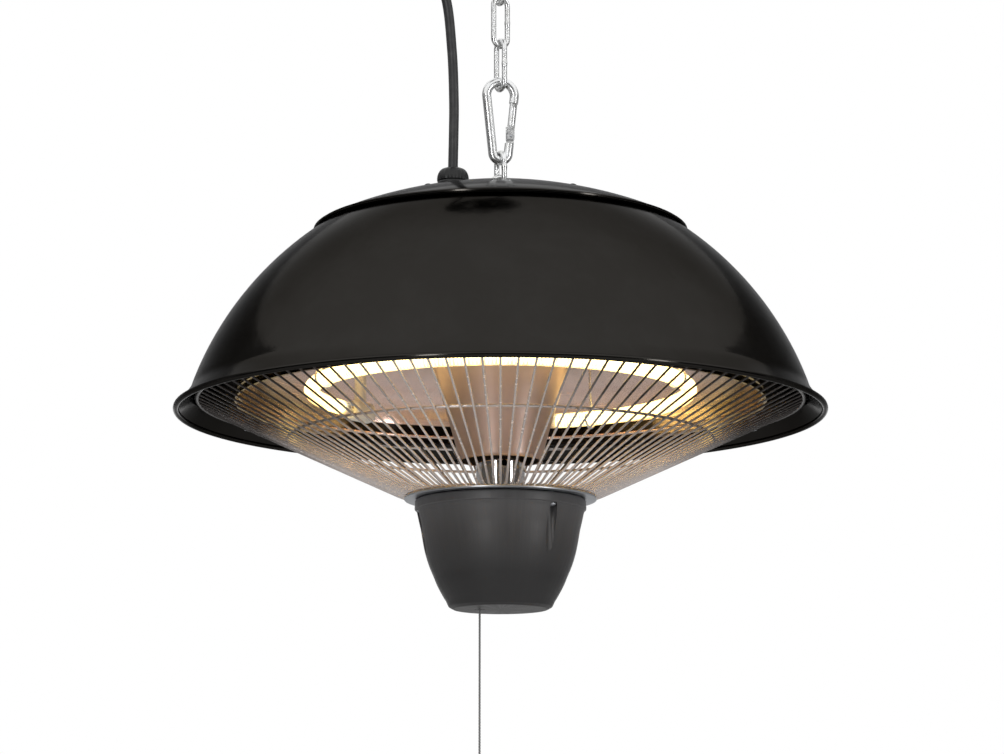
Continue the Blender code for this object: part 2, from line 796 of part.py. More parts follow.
def dome_radius(height, inner=False):
    """Radius of the dome's round wall at a height over the rim."""
    sphere = DOME_SPHERE_RADIUS - (DOME_WALL if inner else 0.0)
    return math.sqrt(sphere ** 2 - (height + DOME_SPHERE_DROP) ** 2)


def make_dome():
    """A spun shell: flat top, round wall and a flared rim with a rolled edge."""
    start = math.degrees(math.asin((DOME_TOP + DOME_SPHERE_DROP) / DOME_SPHERE_RADIUS))
    end = math.degrees(math.asin((FLARE_HEIGHT + DOME_SPHERE_DROP) / DOME_SPHERE_RADIUS))
    line = [(0.0, DOME_TOP)]
    line += arc((0.0, -DOME_SPHERE_DROP), DOME_SPHERE_RADIUS, start, end, 7)
    line += [(DOME_FOOT_RADIUS + FLARE_REACH * out, FLARE_HEIGHT * up) for out, up in FLARE_SHARES]
    dome = turned("dome_shade", shell(line, DOME_WALL), DOME_STEPS, BLACK_ENAMEL, (0.0, 0.0, RIM_Z))
    eye = (EYE_WIDTH - EYE_WIRE) / 2
    holes = [(side * eye, 0.0, EYE_WIRE / 2 + CLEAR) for side in (-1, 1)]
    holes += [(side * CAP_STUD_CIRCLE, 0.0, CAP_STUD_RADIUS + CLEAR) for side in (-1, 1)]
    for index in range(VENT_COUNT):
        x, y = around(VENT_CIRCLE, 30 + 360 / VENT_COUNT * index)
        holes.append((x, y, VENT_RADIUS))
    top = over_rim(DOME_TOP)
    drill(dome, "dome_holes", holes, top - DOME_WALL - CUT_OVERRUN, top + CUT_OVERRUN)
    return dome


# Top cap
def cap_height(radius):
    """Height over the rim of the cap's outer face at a radius."""
    return CAP_EDGE + CAP_RISE * (1 - (radius / CAP_RADIUS) ** CAP_CURVE_SHARE) ** (1 / CAP_SHOULDER_SHARE)


def make_cap():
    """The shallow cap over the dome's vents, its spacers and its two acorn nuts."""
    line = [(0.0, cap_height(0.0))]
    line += [(CAP_RADIUS * share, cap_height(CAP_RADIUS * share)) for share in CAP_SHARES]
    cap = turned("top_cap", shell(line, CAP_WALL), CAP_STEPS, BLACK_ENAMEL, (0.0, 0.0, RIM_Z))
    eye = (EYE_WIDTH - EYE_WIRE) / 2
    holes = [(side * eye, 0.0, EYE_WIRE / 2 + CLEAR) for side in (-1, 1)]
    holes += [(side * CAP_STUD_CIRCLE, 0.0, CAP_STUD_RADIUS + CLEAR) for side in (-1, 1)]
    holes.append((GLAND_X, 0.0, GLAND_STEM_RADIUS + CLEAR))
    drill(cap, "cap_holes", holes, over_rim(CAP_EDGE), over_rim(CAP_EDGE + CAP_RISE + CUT_OVERRUN))
    pieces = [cap]
    low = DOME_TOP + CLEAR
    outer = CAP_STUD_CIRCLE + CAP_SPACER_RADIUS
    high = cap_height(outer) - CAP_WALL * CAP_SLOPE_SHARE - CLEAR
    bore = CAP_STUD_RADIUS + CLEAR
    nut_seat = cap_height(CAP_STUD_CIRCLE - CAP_NUT_RADIUS) + CLEAR
    crown = CAP_NUT_TOP - nut_seat
    nut = [(0.0, CAP_NUT_TOP)]
    nut += [(CAP_NUT_RADIUS * out, CAP_NUT_TOP - crown * down) for out, down in CAP_NUT_SHARES]
    nut += [
        (CAP_NUT_RADIUS, nut_seat),
        (CAP_STUD_RADIUS, nut_seat),
        (CAP_STUD_RADIUS, CAP_STUD_END),
        (0.0, CAP_STUD_END),
    ]
    for word, side in (("left", -1), ("right", 1)):
        place = (side * CAP_STUD_CIRCLE, 0.0, RIM_Z)
        ring = [(CAP_SPACER_RADIUS, high), (CAP_SPACER_RADIUS, low), (bore, low), (bore, high)]
        pieces.append(turned(f"cap_spacer_{word}", ring, 12, ZINC, place))
        pieces.append(turned(f"cap_nut_{word}", nut, 12, BLACK_ENAMEL, place))
    return pieces


# Cable gland and terminal block
def make_gland():
    """The gland that holds the power cable, its lock nut under the cap, and the terminal block."""
    place = (GLAND_X, 0.0, RIM_Z)
    bore = CABLE_DIAMETER / 2 + CLEAR
    foot = cap_height(abs(GLAND_X) - GLAND_RADIUS) + CLEAR
    body = [
        (GLAND_RADIUS, GLAND_SEAM),
        (GLAND_RADIUS, foot),
        (GLAND_STEM_RADIUS, foot),
        (GLAND_STEM_RADIUS, GLAND_STEM_END),
        (bore, GLAND_STEM_END),
        (bore, GLAND_SEAM),
    ]
    rise = GLAND_TOP - GLAND_SEAM
    nut = [(GLAND_RADIUS * out, GLAND_TOP - rise * down) for out, down in GLAND_NUT_SHARES]
    nut += [
        (GLAND_RADIUS, GLAND_SEAM + CLEAR),
        (bore, GLAND_SEAM + CLEAR),
        (bore, GLAND_TOP),
    ]
    pieces = [
        turned("gland_body", body, 18, BLACK_PLASTIC, place),
        turned("gland_nut", nut, 18, BLACK_PLASTIC, place),
    ]
    corner = LOCK_NUT_FLATS / math.sqrt(3)
    seat = over_rim(cap_height(abs(GLAND_X) + corner) - CAP_WALL * CAP_SLOPE_SHARE - CLEAR)
    pieces.append(hex_nut(
        "gland_lock_nut", LOCK_NUT_FLATS, LOCK_NUT_THICKNESS, GLAND_STEM_RADIUS + CLEAR,
        (GLAND_X, 0.0, seat), BLACK_PLASTIC,
    ))
    length, width, height = BLOCK_SIZE
    ceiling = over_rim(DOME_TOP - DOME_WALL - CLEAR)
    block = box(
        "terminal_block",
        (BLOCK_X - length / 2, BLOCK_Y - width / 2, ceiling - height),
        (BLOCK_X + length / 2, BLOCK_Y + width / 2, ceiling),
    )
    soften(block, CAP_WALL)
    pieces.append(keep(block, CERAMIC))
    return pieces


# Power cable, its coil, strap and plug
def coil_points():
    """Centre line of the coil: it spirals in, changes layer where it turns back, and spirals out."""
    count = round(COIL_TURNS * 18)
    points = []
    for step in range(count + 1):
        turns = COIL_TURNS * step / count
        from_middle = turns - COIL_TURNS / 2
        radius = COIL_INNER_RADIUS + COIL_PITCH * abs(from_middle)
        climb = min(max(from_middle * 2 + 0.5, 0.0), 1.0)
        climb = climb * climb * (3 - 2 * climb)
        angle = math.pi - math.tau * turns
        y = -COIL_FRONT - COIL_LAYER_STEP * climb
        points.append(Vector((COIL_X + radius * math.cos(angle), y, COIL_Z + radius * math.sin(angle))))
    return points


def least_gap(points, diameter):
    """Least gap of a wound cord to itself, apart from the stretch next to each point."""
    skip = 6
    least = math.inf
    for index, point in enumerate(points):
        for other in points[index + skip:]:
            least = min(least, (other - point).length)
    return least - diameter


def make_cable():
    """The free stretch to the coil, the coil, and the lead from the coil to the plug."""
    radius = CABLE_DIAMETER / 2
    loops = coil_points()
    first = Vector((0.0, 0.0, 1.0))
    last = (loops[-1] - loops[-2]).normalized()
    start = loops[0] - first * CABLE_DIAMETER
    end = loops[-1] + last * CABLE_DIAMETER
    print("least gap in the coil, mm:", round(least_gap(loops, CABLE_DIAMETER) * 1000, 2))
    coil = tube("cable_coil", [start] + loops + [end], radius, CABLE_RUBBER, resolution=1)
    gap = first * CLEAR
    route = [Vector((x, y, over_rim(height))) for x, y, height in CABLE_ROUTE]
    route += [start - gap - first * CABLE_DIAMETER, start - gap]
    free = tube("power_cable", smooth_line(route, 30), radius, CABLE_RUBBER)
    plug_x = COIL_X + PLUG_SHIFT
    plug_top = COIL_Z + PLUG_TOP_LIFT
    lead = [end + last * 2 * CLEAR, end + last * (2 * CLEAR + CABLE_DIAMETER)]
    lead += [Vector((COIL_X + x, y, COIL_Z + z)) for x, z, y in LEAD_ROUTE]
    lead += [
        Vector((plug_x, -PLUG_FRONT, plug_top + CABLE_DIAMETER)),
        Vector((plug_x, -PLUG_FRONT, plug_top + CLEAR)),
    ]
    tail = tube("plug_lead", smooth_line(lead, 22), radius, CABLE_RUBBER)
    return free, coil, tail


def make_strap():
    """The strap that holds the coil's side to the top link: a band round all of them."""
    outer = COIL_INNER_RADIUS + COIL_PITCH * COIL_TURNS / 2
    circles = []
    for along in (COIL_INNER_RADIUS, outer):
        for y in (-COIL_FRONT, -COIL_FRONT - COIL_LAYER_STEP):
            circles.append((COIL_X + along, y, CABLE_DIAMETER / 2))
    for side in (-1, 1):
        x, y = around(side * LINK_ARC, LINK_TURN_DEG)
        circles.append((x, y, LINK_WIRE / 2))
    cloud = []
    for x, y, radius in circles:
        for step in range(12):
            angle = math.tau * step / 12
            reach = radius + STRAP_CLEAR
            cloud.append(Vector((x + reach * math.cos(angle), y + reach * math.sin(angle))))
    rim = [cloud[index] for index in convex_hull_2d(cloud)]
    low, high = COIL_Z - STRAP_HEIGHT / 2, COIL_Z + STRAP_HEIGHT / 2
    count = len(rim)
    mesh = bpy.data.meshes.new("coil_strap")
    rows = [(*point, low) for point in rim] + [(*point, high) for point in rim]
    faces = []
    for index in range(count):
        after = (index + 1) % count
        faces.append((index, after, after + count, index + count))
    mesh.from_pydata(rows, [], faces)
    work = bmesh.new()
    work.from_mesh(mesh)
    bmesh.ops.recalc_face_normals(work, faces=work.faces)
    work.to_mesh(mesh)
    work.free()
    obj = bpy.data.objects.new("coil_strap", mesh)
    band = obj.modifiers.new("band", "SOLIDIFY")
    band.thickness = STRAP_THICKNESS
    band.offset = 1.0
    return keep(obj, BLACK_PLASTIC)


def make_plug():
    """The mains plug: ribbed relief, round body and two pins, hanging from its lead."""
    place = (COIL_X + PLUG_SHIFT, -PLUG_FRONT, COIL_Z + PLUG_TOP_LIFT)
    neck = -RELIEF_LENGTH
    outline = [(0.0, 0.0), (RELIEF_RADIUS, 0.0), (RELIEF_RADIUS * RELIEF_SPREAD_SHARE, neck)]
    outline += [(PLUG_RADIUS * out, neck - PLUG_LENGTH * down) for out, down in PLUG_SHARES]
    outline += [(0.0, neck - PLUG_LENGTH)]
    plug = turned("mains_plug", outline, 20, BLACK_PLASTIC, place)
    face = place[2] + neck - PLUG_LENGTH
    for side in (-1, 1):
        x = place[0] + side * PIN_SPACING / 2
        low = (x, place[1], face - PIN_LENGTH)
        high = (x, place[1], face + JOIN_DEPTH)
        combine(plug, cylinder(f"plug_pin{side}", PIN_RADIUS, low, high, sides=10), "UNION")
    return plug


# Reflector
def dish_height(radius):
    """Height over the rim of the reflector's lower face at a radius."""
    if radius > TROUGH_RADIUS:
        band = HEM_HEIGHT + HEM_BAND
        share = (radius - TROUGH_RADIUS) / (HEM_RADIUS - HEM_STEP - TROUGH_RADIUS)
        return band + (TROUGH_HEIGHT - band) * math.sqrt(max(1 - share ** 2, 0.0))
    share = (TROUGH_RADIUS - radius) / (TROUGH_RADIUS - DISH_INNER_RADIUS)
    return TROUGH_HEIGHT - (TROUGH_HEIGHT - DISH_INNER_HEIGHT) * share ** 2


def dish_line():
    """Lower face of the reflector from its hole out to its hem."""
    line = [(DISH_HOLE_RADIUS, DISH_INNER_HEIGHT), (DISH_INNER_RADIUS, DISH_INNER_HEIGHT)]
    inner_run = TROUGH_RADIUS - DISH_INNER_RADIUS
    for share in (0.34, 0.67, 1.0):
        radius = DISH_INNER_RADIUS + inner_run * share
        line.append((radius, dish_height(radius)))
    band = HEM_HEIGHT + HEM_BAND
    wall = HEM_RADIUS - HEM_STEP
    for angle_deg in (66, 43, 21, 0):
        angle = math.radians(angle_deg)
        line.append((
            TROUGH_RADIUS + (wall - TROUGH_RADIUS) * math.cos(angle),
            band + (TROUGH_HEIGHT - band) * math.sin(angle),
        ))
    line += [(wall, HEM_HEIGHT + HEM_STEP), (HEM_RADIUS, HEM_HEIGHT)]
    return line


def under_dish(radius, half_width):
    """Height over the rim that a piece of a half width may reach under the faceted dish."""
    line = dish_line()
    heights = []
    for place in (radius - half_width, radius + half_width):
        for (r0, z0), (r1, z1) in zip(line, line[1:]):
            if r0 <= place < r1:
                heights.append(z0 + (z1 - z0) * (place - r0) / (r1 - r0))
    return min(heights) - CLEAR - sag(radius, DISH_STEPS)


def cone_radius(height):
    """Radius of the reflector cone's outer face at a height over the rim."""
    share = (height - CONE_FOOT_HEIGHT) / (DISH_INNER_HEIGHT - CONE_FOOT_HEIGHT)
    widest = DISH_HOLE_RADIUS - CLEAR - CONE_FOOT_RADIUS
    return CONE_FOOT_RADIUS + widest * min(share, 1.0) ** CONE_CURVE_SHARE


def make_reflector():
    """The spun dish over the lamp, the cone in its middle, and the studs that hold it to the dome."""
    dish = turned("reflector_dish", shell(dish_line(), -DISH_WALL), DISH_STEPS, COPPER_MIRROR, (0.0, 0.0, RIM_Z))
    seat = DISH_INNER_HEIGHT + DISH_WALL + CLEAR
    profile = []
    steps = 5
    for step in range(steps):
        height = CONE_FOOT_HEIGHT + (seat - CONE_FOOT_HEIGHT) * step / (steps - 1)
        profile.append((cone_radius(height), height))
    profile.append((DISH_HOLE_RADIUS + CONE_FLANGE, seat))
    cone = turned("reflector_cone", shell(profile, -CONE_WALL), 28, COPPER_MIRROR, (0.0, 0.0, RIM_Z))
    pieces = [dish, cone]
    low = over_rim(max(dish_height(STUD_CIRCLE + STUD_RADIUS), dish_height(STUD_CIRCLE)) + DISH_WALL + 2 * CLEAR)
    high = over_rim(DOME_TOP - DOME_WALL - CLEAR)
    for index, angle in enumerate((90, 210, 330)):
        x, y = around(STUD_CIRCLE, angle)
        stud = cylinder(f"reflector_stud_{index + 1}", STUD_RADIUS, (x, y, low), (x, y, high), sides=16)
        pieces.append(keep(stud, ZINC))
    return pieces


# Ring lamp
def make_lamp():
    """The ring lamp, a ceramic end at each side of its gap, and the wire clips that carry it."""
    count = 36
    points = []
    for step in range(count + 1):
        angle = LAMP_START_DEG + (LAMP_END_DEG - LAMP_START_DEG) * step / count
        x, y = around(LAMP_CIRCLE, angle)
        points.append(Vector((x, y, over_rim(LAMP_HEIGHT))))
    for spot, angle, way in ((1, LAMP_START_DEG, 1), (-2, LAMP_END_DEG, -1)):
        end = points[0] if spot > 0 else points[-1]
        points[spot] = end + Vector((*around(way * LAMP_RADIUS, angle + 90), 0.0))
    pieces = [tube("lamp_tube", points, LAMP_RADIUS, LAMP_GLASS)]
    seat = over_rim(under_dish(LAMP_CIRCLE, LAMP_STEM_RADIUS * LAMP_SEAT_SHARE))
    ends = (("lamp_end_left", LAMP_START_DEG, -1), ("lamp_end_right", LAMP_END_DEG, 1))
    for name, angle, way in ends:
        x, y = around(LAMP_CIRCLE, angle)
        along = Vector((*around(way, angle + 90), 0.0))
        face = Vector((x, y, over_rim(LAMP_HEIGHT))) + along * CLEAR
        cap = keep(cylinder(name, LAMP_END_RADIUS, face, face + along * LAMP_END_LENGTH, sides=20), CERAMIC)
        middle = face + along * (LAMP_END_LENGTH / 2)
        stem = cylinder(name + "_stem", LAMP_STEM_RADIUS, middle, (middle.x, middle.y, seat), sides=16)
        combine(cap, stem, "UNION")
        pieces.append(cap)
    reach = LAMP_RADIUS + CLEAR + CLIP_WIRE / 2
    top = under_dish(LAMP_CIRCLE, CLIP_WIRE)
    for index, angle in enumerate(LAMP_CLIP_ANGLES_DEG):
        hook = arc((LAMP_CIRCLE, LAMP_HEIGHT), reach, 60, -200, 12)
        line = [(LAMP_CIRCLE, top), (LAMP_CIRCLE, (top + LAMP_HEIGHT) / 2)] + hook
        spots = upright([(r, over_rim(z)) for r, z in line], angle)
        pieces.append(tube(f"lamp_clip_{index + 1}", spots, CLIP_WIRE / 2, ZINC, resolution=1))
    return pieces


# Wire guard
def guard_height(radius):
    """Height over the rim of the middle of the sloping guard wires at a radius."""
    slope = math.tan(math.radians(GUARD_SLOPE_DEG))
    return GUARD_RING_HEIGHT + slope * (radius - GUARD_RING_RADIUS)


def guard_floor():
    """Height over the rim of the middle of the wires' inner ends, past their bend."""
    return guard_height(GUARD_BEND_RADIUS) - GUARD_BEND_FALL


def make_guard():
    """One sector of the outer ring with its wire grown from it, copied round and merged."""
    half_turn = math.pi / GUARD_WIRES
    half_wire = math.asin(GUARD_WIRE / 2 / GUARD_RING_RADIUS)
    half = GUARD_RING_WIRE / 2
    rise = GUARD_WIRE / 2
    corners = ((half, half), (half, -half), (-half, -rise), (-half, rise))
    mesh = bpy.data.meshes.new("wire_guard")
    work = bmesh.new()
    sections = []
    for angle in (-half_wire, half_wire, 2 * half_turn - half_wire):
        section = []
        for out, up in corners:
            radius = GUARD_RING_RADIUS + out
            spot = (radius * math.cos(angle), radius * math.sin(angle), GUARD_RING_HEIGHT + up)
            section.append(work.verts.new(spot))
        sections.append(section)
    for index, (left, right) in enumerate(zip(sections, sections[1:])):
        for side in range(4):
            if index == 0 and side == 2:
                continue
            after = (side + 1) % 4
            work.faces.new((left[side], left[after], right[after], right[side]))
    mouth = [sections[0][2], sections[0][3], sections[1][3], sections[1][2]]
    stations = [
        (GUARD_BEND_RADIUS, guard_height(GUARD_BEND_RADIUS), math.radians(GUARD_SLOPE_DEG) / 2),
        (GUARD_INNER_RADIUS, guard_floor(), 0.0),
    ]
    previous = mouth
    for radius, height, lean in stations:
        low = (radius + rise * math.sin(lean), height - rise * math.cos(lean))
        high = (radius - rise * math.sin(lean), height + rise * math.cos(lean))
        current = [
            work.verts.new((low[0], -rise, low[1])),
            work.verts.new((high[0], -rise, high[1])),
            work.verts.new((high[0], rise, high[1])),
            work.verts.new((low[0], rise, low[1])),
        ]
        for side in range(4):
            after = (side + 1) % 4
            work.faces.new((previous[side], previous[after], current[after], current[side]))
        previous = current
    work.faces.new(previous)
    bmesh.ops.recalc_face_normals(work, faces=work.faces)
    probe = max(work.faces, key=lambda face: face.calc_center_median().x)
    if probe.normal.x < 0:
        bmesh.ops.reverse_faces(work, faces=work.faces)
    work.to_mesh(mesh)
    work.free()
    guard = bpy.data.objects.new("wire_guard", mesh)
    guard.location = (0.0, 0.0, RIM_Z)
    keep(guard, CHROME)
    turn = bpy.data.objects.new("guard_turn", None)
    CUTTERS.objects.link(turn)
    turn.location = guard.location
    turn.rotation_euler = (0.0, 0.0, 2 * half_turn)
    copies = guard.modifiers.new("wires", "ARRAY")
    copies.use_relative_offset = False
    copies.use_object_offset = True
    copies.offset_object = turn
    copies.count = GUARD_WIRES
    copies.use_merge_vertices = True
    copies.use_merge_vertices_cap = True
    copies.merge_threshold = 2e-5
    return guard


def make_guard_fittings():
    """The hoop inside the wires, the plate that they end on, and the clips on the outer ring."""
    gap = (GUARD_WIRE / 2 + CLEAR + HOOP_WIRE / 2) / math.cos(math.radians(GUARD_SLOPE_DEG))
    height = over_rim(guard_height(HOOP_RADIUS) + gap)
    points = []
    for step in range(GUARD_WIRES // 2):
        x, y = around(HOOP_RADIUS, 720 / GUARD_WIRES * step)
        points.append((x, y, height))
    pieces = [tube("guard_hoop", points, HOOP_WIRE / 2, CHROME, closed=True, resolution=0)]
    top = guard_floor() - GUARD_WIRE / 2 - CLEAR
    low = top - GUARD_PLATE_THICKNESS
    bore = TUBE_RADIUS + CLEAR
    ring = [(GUARD_PLATE_RADIUS, top), (GUARD_PLATE_RADIUS, low), (bore, low), (bore, top)]
    plate = turned("guard_plate", ring, 30, SATIN_STEEL, (0.0, 0.0, RIM_Z))
    holes = []
    for angle in RECESS_ANGLES_DEG:
        x, y = around(RECESS_CIRCLE, angle)
        holes.append((x, y, CUP_SCREW_RADIUS + CLEAR))
    drill(plate, "guard_plate_holes", holes, over_rim(low - CUT_OVERRUN), over_rim(top + CUT_OVERRUN))
    pieces.append(plate)
    half = GUARD_RING_WIRE / 2
    sheet = GUARD_CLIP_THICKNESS / 2
    outer = GUARD_RING_RADIUS + half + CLEAR + sheet
    under = GUARD_RING_HEIGHT - half - CLEAR - sheet
    tip = GUARD_RING_HEIGHT + GUARD_CLIP_RISE
    bend = GUARD_RING_HEIGHT + GUARD_CLIP_RISE / 3
    slack = sheet + 2 * CLEAR + GUARD_CLIP_WIDTH ** 2 / (8 * GUARD_RING_RADIUS) + sag(RIM_RADIUS, DOME_STEPS)
    line = [
        (dome_radius(tip, inner=True) - slack, tip),
        (dome_radius((tip + bend) / 2, inner=True) - slack, (tip + bend) / 2),
        (dome_radius(bend, inner=True) - slack, bend),
        (outer, GUARD_RING_HEIGHT + half),
        (outer, under),
        (outer - GUARD_CLIP_HOOK, under),
    ]
    for index, angle in enumerate(GUARD_CLIP_ANGLES_DEG):
        pieces.append(strip(
            f"guard_clip_{index + 1}", line, angle, GUARD_CLIP_WIDTH, GUARD_CLIP_THICKNESS, SATIN_STEEL
        ))
    return pieces


def plate_bottom():
    """Height over the rim of the guard plate's lower face."""
    return guard_floor() - GUARD_WIRE / 2 - CLEAR - GUARD_PLATE_THICKNESS


# Centre tube
def make_centre_tube():
    """The tube from the dome's top down to the guard plate, with its flange, collar and nut."""
    top = DOME_TOP - DOME_WALL - CLEAR
    collar = plate_bottom() + GUARD_PLATE_THICKNESS + CLEAR
    foot = plate_bottom() - TUBE_TAIL
    bore = TUBE_RADIUS - TUBE_WALL
    outline = [
        (TUBE_FLANGE_RADIUS, top),
        (TUBE_FLANGE_RADIUS, top - TUBE_FLANGE),
        (TUBE_RADIUS, top - TUBE_FLANGE),
        (TUBE_RADIUS, collar + TUBE_COLLAR),
        (TUBE_COLLAR_RADIUS, collar + TUBE_COLLAR),
        (TUBE_COLLAR_RADIUS, collar),
        (TUBE_RADIUS, collar),
        (TUBE_RADIUS, foot),
        (bore, foot),
        (bore, top),
    ]
    pieces = [turned("centre_tube", outline, 24, CHROME, (0.0, 0.0, RIM_Z))]
    seat = over_rim(plate_bottom() - CLEAR)
    pieces.append(hex_nut(
        "tube_nut", TUBE_NUT_FLATS, TUBE_NUT_THICKNESS, TUBE_RADIUS + CLEAR, (0.0, 0.0, seat), ZINC
    ))
    return pieces


# Switch cup
def cup_line():
    """Outer face of the cup from its top edge to the middle of its floor."""
    top = plate_bottom() - CLEAR
    line = [
        (CUP_RADIUS - LIP_STEP, top),
        (CUP_RADIUS, top - LIP_STEP * 2),
        (CUP_RADIUS, top - LIP_HEIGHT + LIP_STEP * 2),
        (CUP_RADIUS - LIP_STEP, top - LIP_HEIGHT),
    ]
    line += [(CUP_RADIUS * out, top - CUP_DEPTH * down) for out, down in CUP_SHARES]
    foot = CUP_RADIUS * CUP_SHARES[-1][0] * CUP_FOOT_SHARE
    line += [(foot, top - CUP_DEPTH), (0.0, top - CUP_DEPTH)]
    return line


def make_cup():
    """A moulded cup: three screw channels run down its side, each backed by a boss inside."""
    line = cup_line()
    top = line[0][1]
    cup = turned("switch_cup", line + [(0.0, top)], CUP_STEPS, CHARCOAL_PAINT, (0.0, 0.0, RIM_Z))
    inner = offset_line(line[4:], CUP_WALL)
    wall = line[0][0] - CUP_WALL
    hollow = [(0.0, top + CUT_OVERRUN), (wall, top + CUT_OVERRUN), (wall, top - LIP_HEIGHT)] + inner
    cavity = turned("cup_hollow", hollow, CUP_STEPS, CHARCOAL_PAINT, (0.0, 0.0, RIM_Z))
    spots = [around(BOSS_CIRCLE, angle) for angle in RECESS_ANGLES_DEG]
    for index, (x, y) in enumerate(spots):
        low = (x, y, over_rim(top - CUP_DEPTH))
        high = (x, y, over_rim(top))
        combine(cavity, cylinder(f"cup_boss_{index}", BOSS_RADIUS, low, high, sides=14), "DIFFERENCE")
    combine(cup, cavity, "DIFFERENCE")
    channel_top = top - LIP_HEIGHT
    channels = [(*around(RECESS_CIRCLE, angle), RECESS_RADIUS) for angle in RECESS_ANGLES_DEG]
    drill(cup, "cup_channels", channels, over_rim(channel_top - RECESS_LENGTH), over_rim(channel_top))
    shafts = [(x, y, CUP_SCREW_RADIUS + CLEAR) for x, y, _ in channels]
    drill(cup, "cup_screw_holes", shafts, over_rim(channel_top - JOIN_DEPTH), over_rim(top + CUT_OVERRUN))
    floor = over_rim(top - CUP_DEPTH)
    drill(cup, "cord_hole", [(CORD_X, 0.0, BUSH_RADIUS + CLEAR)], floor - CUT_OVERRUN, floor + CUT_OVERRUN)
    pieces = [cup]
    for index, (x, y, _) in enumerate(channels):
        pieces.append(screw_below(
            f"cup_screw_{index + 1}", x, y, over_rim(channel_top - CLEAR), CUP_SCREW_RADIUS,
            CUP_SCREW_HEAD_RADIUS, CUP_SCREW_HEAD, CUP_SCREW_LENGTH, SATIN_STEEL,
        ))
    return pieces


# Pull switch, cord and knob
def cup_floor():
    """World height of the cup's floor, outside."""
    return over_rim(plate_bottom() - CLEAR - CUP_DEPTH)


def arm_height():
    """World height of the switch arm's pin."""
    return cup_floor() + CUP_WALL + CLEAR + SWITCH_HEIGHT + ARM_LIFT


def make_switch():
    """The switch on the cup's floor, with two ears for the arm, and the arm that the cord pulls."""
    low = cup_floor() + CUP_WALL + CLEAR
    top = low + SWITCH_HEIGHT
    pin_z = arm_height()
    pin_x = CORD_X + ARM_LENGTH
    body = keep(box(
        "switch_body",
        (SWITCH_EDGE_X, -SWITCH_WIDTH / 2, low),
        (SWITCH_EDGE_X + SWITCH_LENGTH, SWITCH_WIDTH / 2, top),
    ), BLACK_PLASTIC)
    inside = ARM_WIDTH / 2 + CLEAR
    for side in (-1, 1):
        near, far = side * inside, side * (inside + EAR_THICKNESS)
        ear = box(
            f"switch_ear{side}",
            (pin_x - EAR_LENGTH / 2, min(near, far), top - JOIN_DEPTH),
            (pin_x + EAR_LENGTH / 2, max(near, far), pin_z + EAR_LENGTH / 2),
        )
        combine(body, ear, "UNION")
    reach = inside + EAR_THICKNESS
    hole = cylinder(
        "arm_pin_hole", ARM_PIN_RADIUS + CLEAR,
        (pin_x, -reach - CUT_OVERRUN, pin_z), (pin_x, reach + CUT_OVERRUN, pin_z), sides=16,
    )
    combine(body, hole, "DIFFERENCE")
    arm = keep(box(
        "switch_arm",
        (CORD_X - ARM_OVERHANG, -ARM_WIDTH / 2, pin_z - ARM_THICKNESS / 2),
        (pin_x + ARM_THICKNESS, ARM_WIDTH / 2, pin_z + ARM_THICKNESS / 2),
    ), SATIN_STEEL)
    pin = cylinder("arm_pin", ARM_PIN_RADIUS - CLEAR / 3, (pin_x, -reach, pin_z), (pin_x, reach, pin_z), sides=16)
    combine(arm, pin, "UNION")
    return body, arm, (pin_x, 0.0, pin_z)


def make_bush():
    """The bush that lines the cord's hole in the cup's floor."""
    place = (CORD_X, 0.0, cup_floor())
    seat = CUP_WALL + CLEAR
    outline = [
        (BUSH_FLANGE_RADIUS, seat + BUSH_FLANGE),
        (BUSH_FLANGE_RADIUS, seat),
        (BUSH_RADIUS, seat),
        (BUSH_RADIUS, 0.0),
        (BUSH_BORE_RADIUS, 0.0),
        (BUSH_BORE_RADIUS, seat + BUSH_FLANGE),
    ]
    return turned("cord_bush", outline, 14, BLACK_PLASTIC, place)


def make_pull_cord():
    """The cord from the switch arm down through the bush, and the knob on its end."""
    top = arm_height() - ARM_THICKNESS / 2 - CLEAR
    knob_top = cup_floor() - CORD_VISIBLE
    route = [(CORD_X, 0.0, top), (CORD_X, 0.0, cup_floor()), (CORD_X, 0.0, knob_top + CLEAR)]
    cord = tube("pull_cord", smooth_line(route, 6), CORD_DIAMETER / 2, GREY_CORD)
    outline = [(0.0, 0.0)]
    outline += [(KNOB_RADIUS * out, -KNOB_LENGTH * down) for out, down in KNOB_SHARES]
    outline += [(0.0, -KNOB_LENGTH)]
    knob = turned("pull_knob", outline, 18, BLACK_PLASTIC, (CORD_X, 0.0, knob_top))
    return cord, knob, (CORD_X, 0.0, cup_floor())


# Bodies and their axes
def pivot(name, place, parent=None):
    """An empty on a moving body's axis. The places are world ones."""
    obj = bpy.data.objects.new(name, None)
    PARTS.objects.link(obj)
    obj.empty_display_size = LINK_WIDTH
    obj.location = Vector(place)
    if parent is not None:
        obj.parent = parent
        obj.location = Vector(place) - Vector(parent["place"])
    obj["place"] = tuple(place)
    return obj


def ride(pieces, body):
    """Parent pieces to a body's empty and leave them where they are."""
    for piece in pieces:
        piece.parent = body
        piece.matrix_parent_inverse = Matrix.Translation(-Vector(body["place"]))


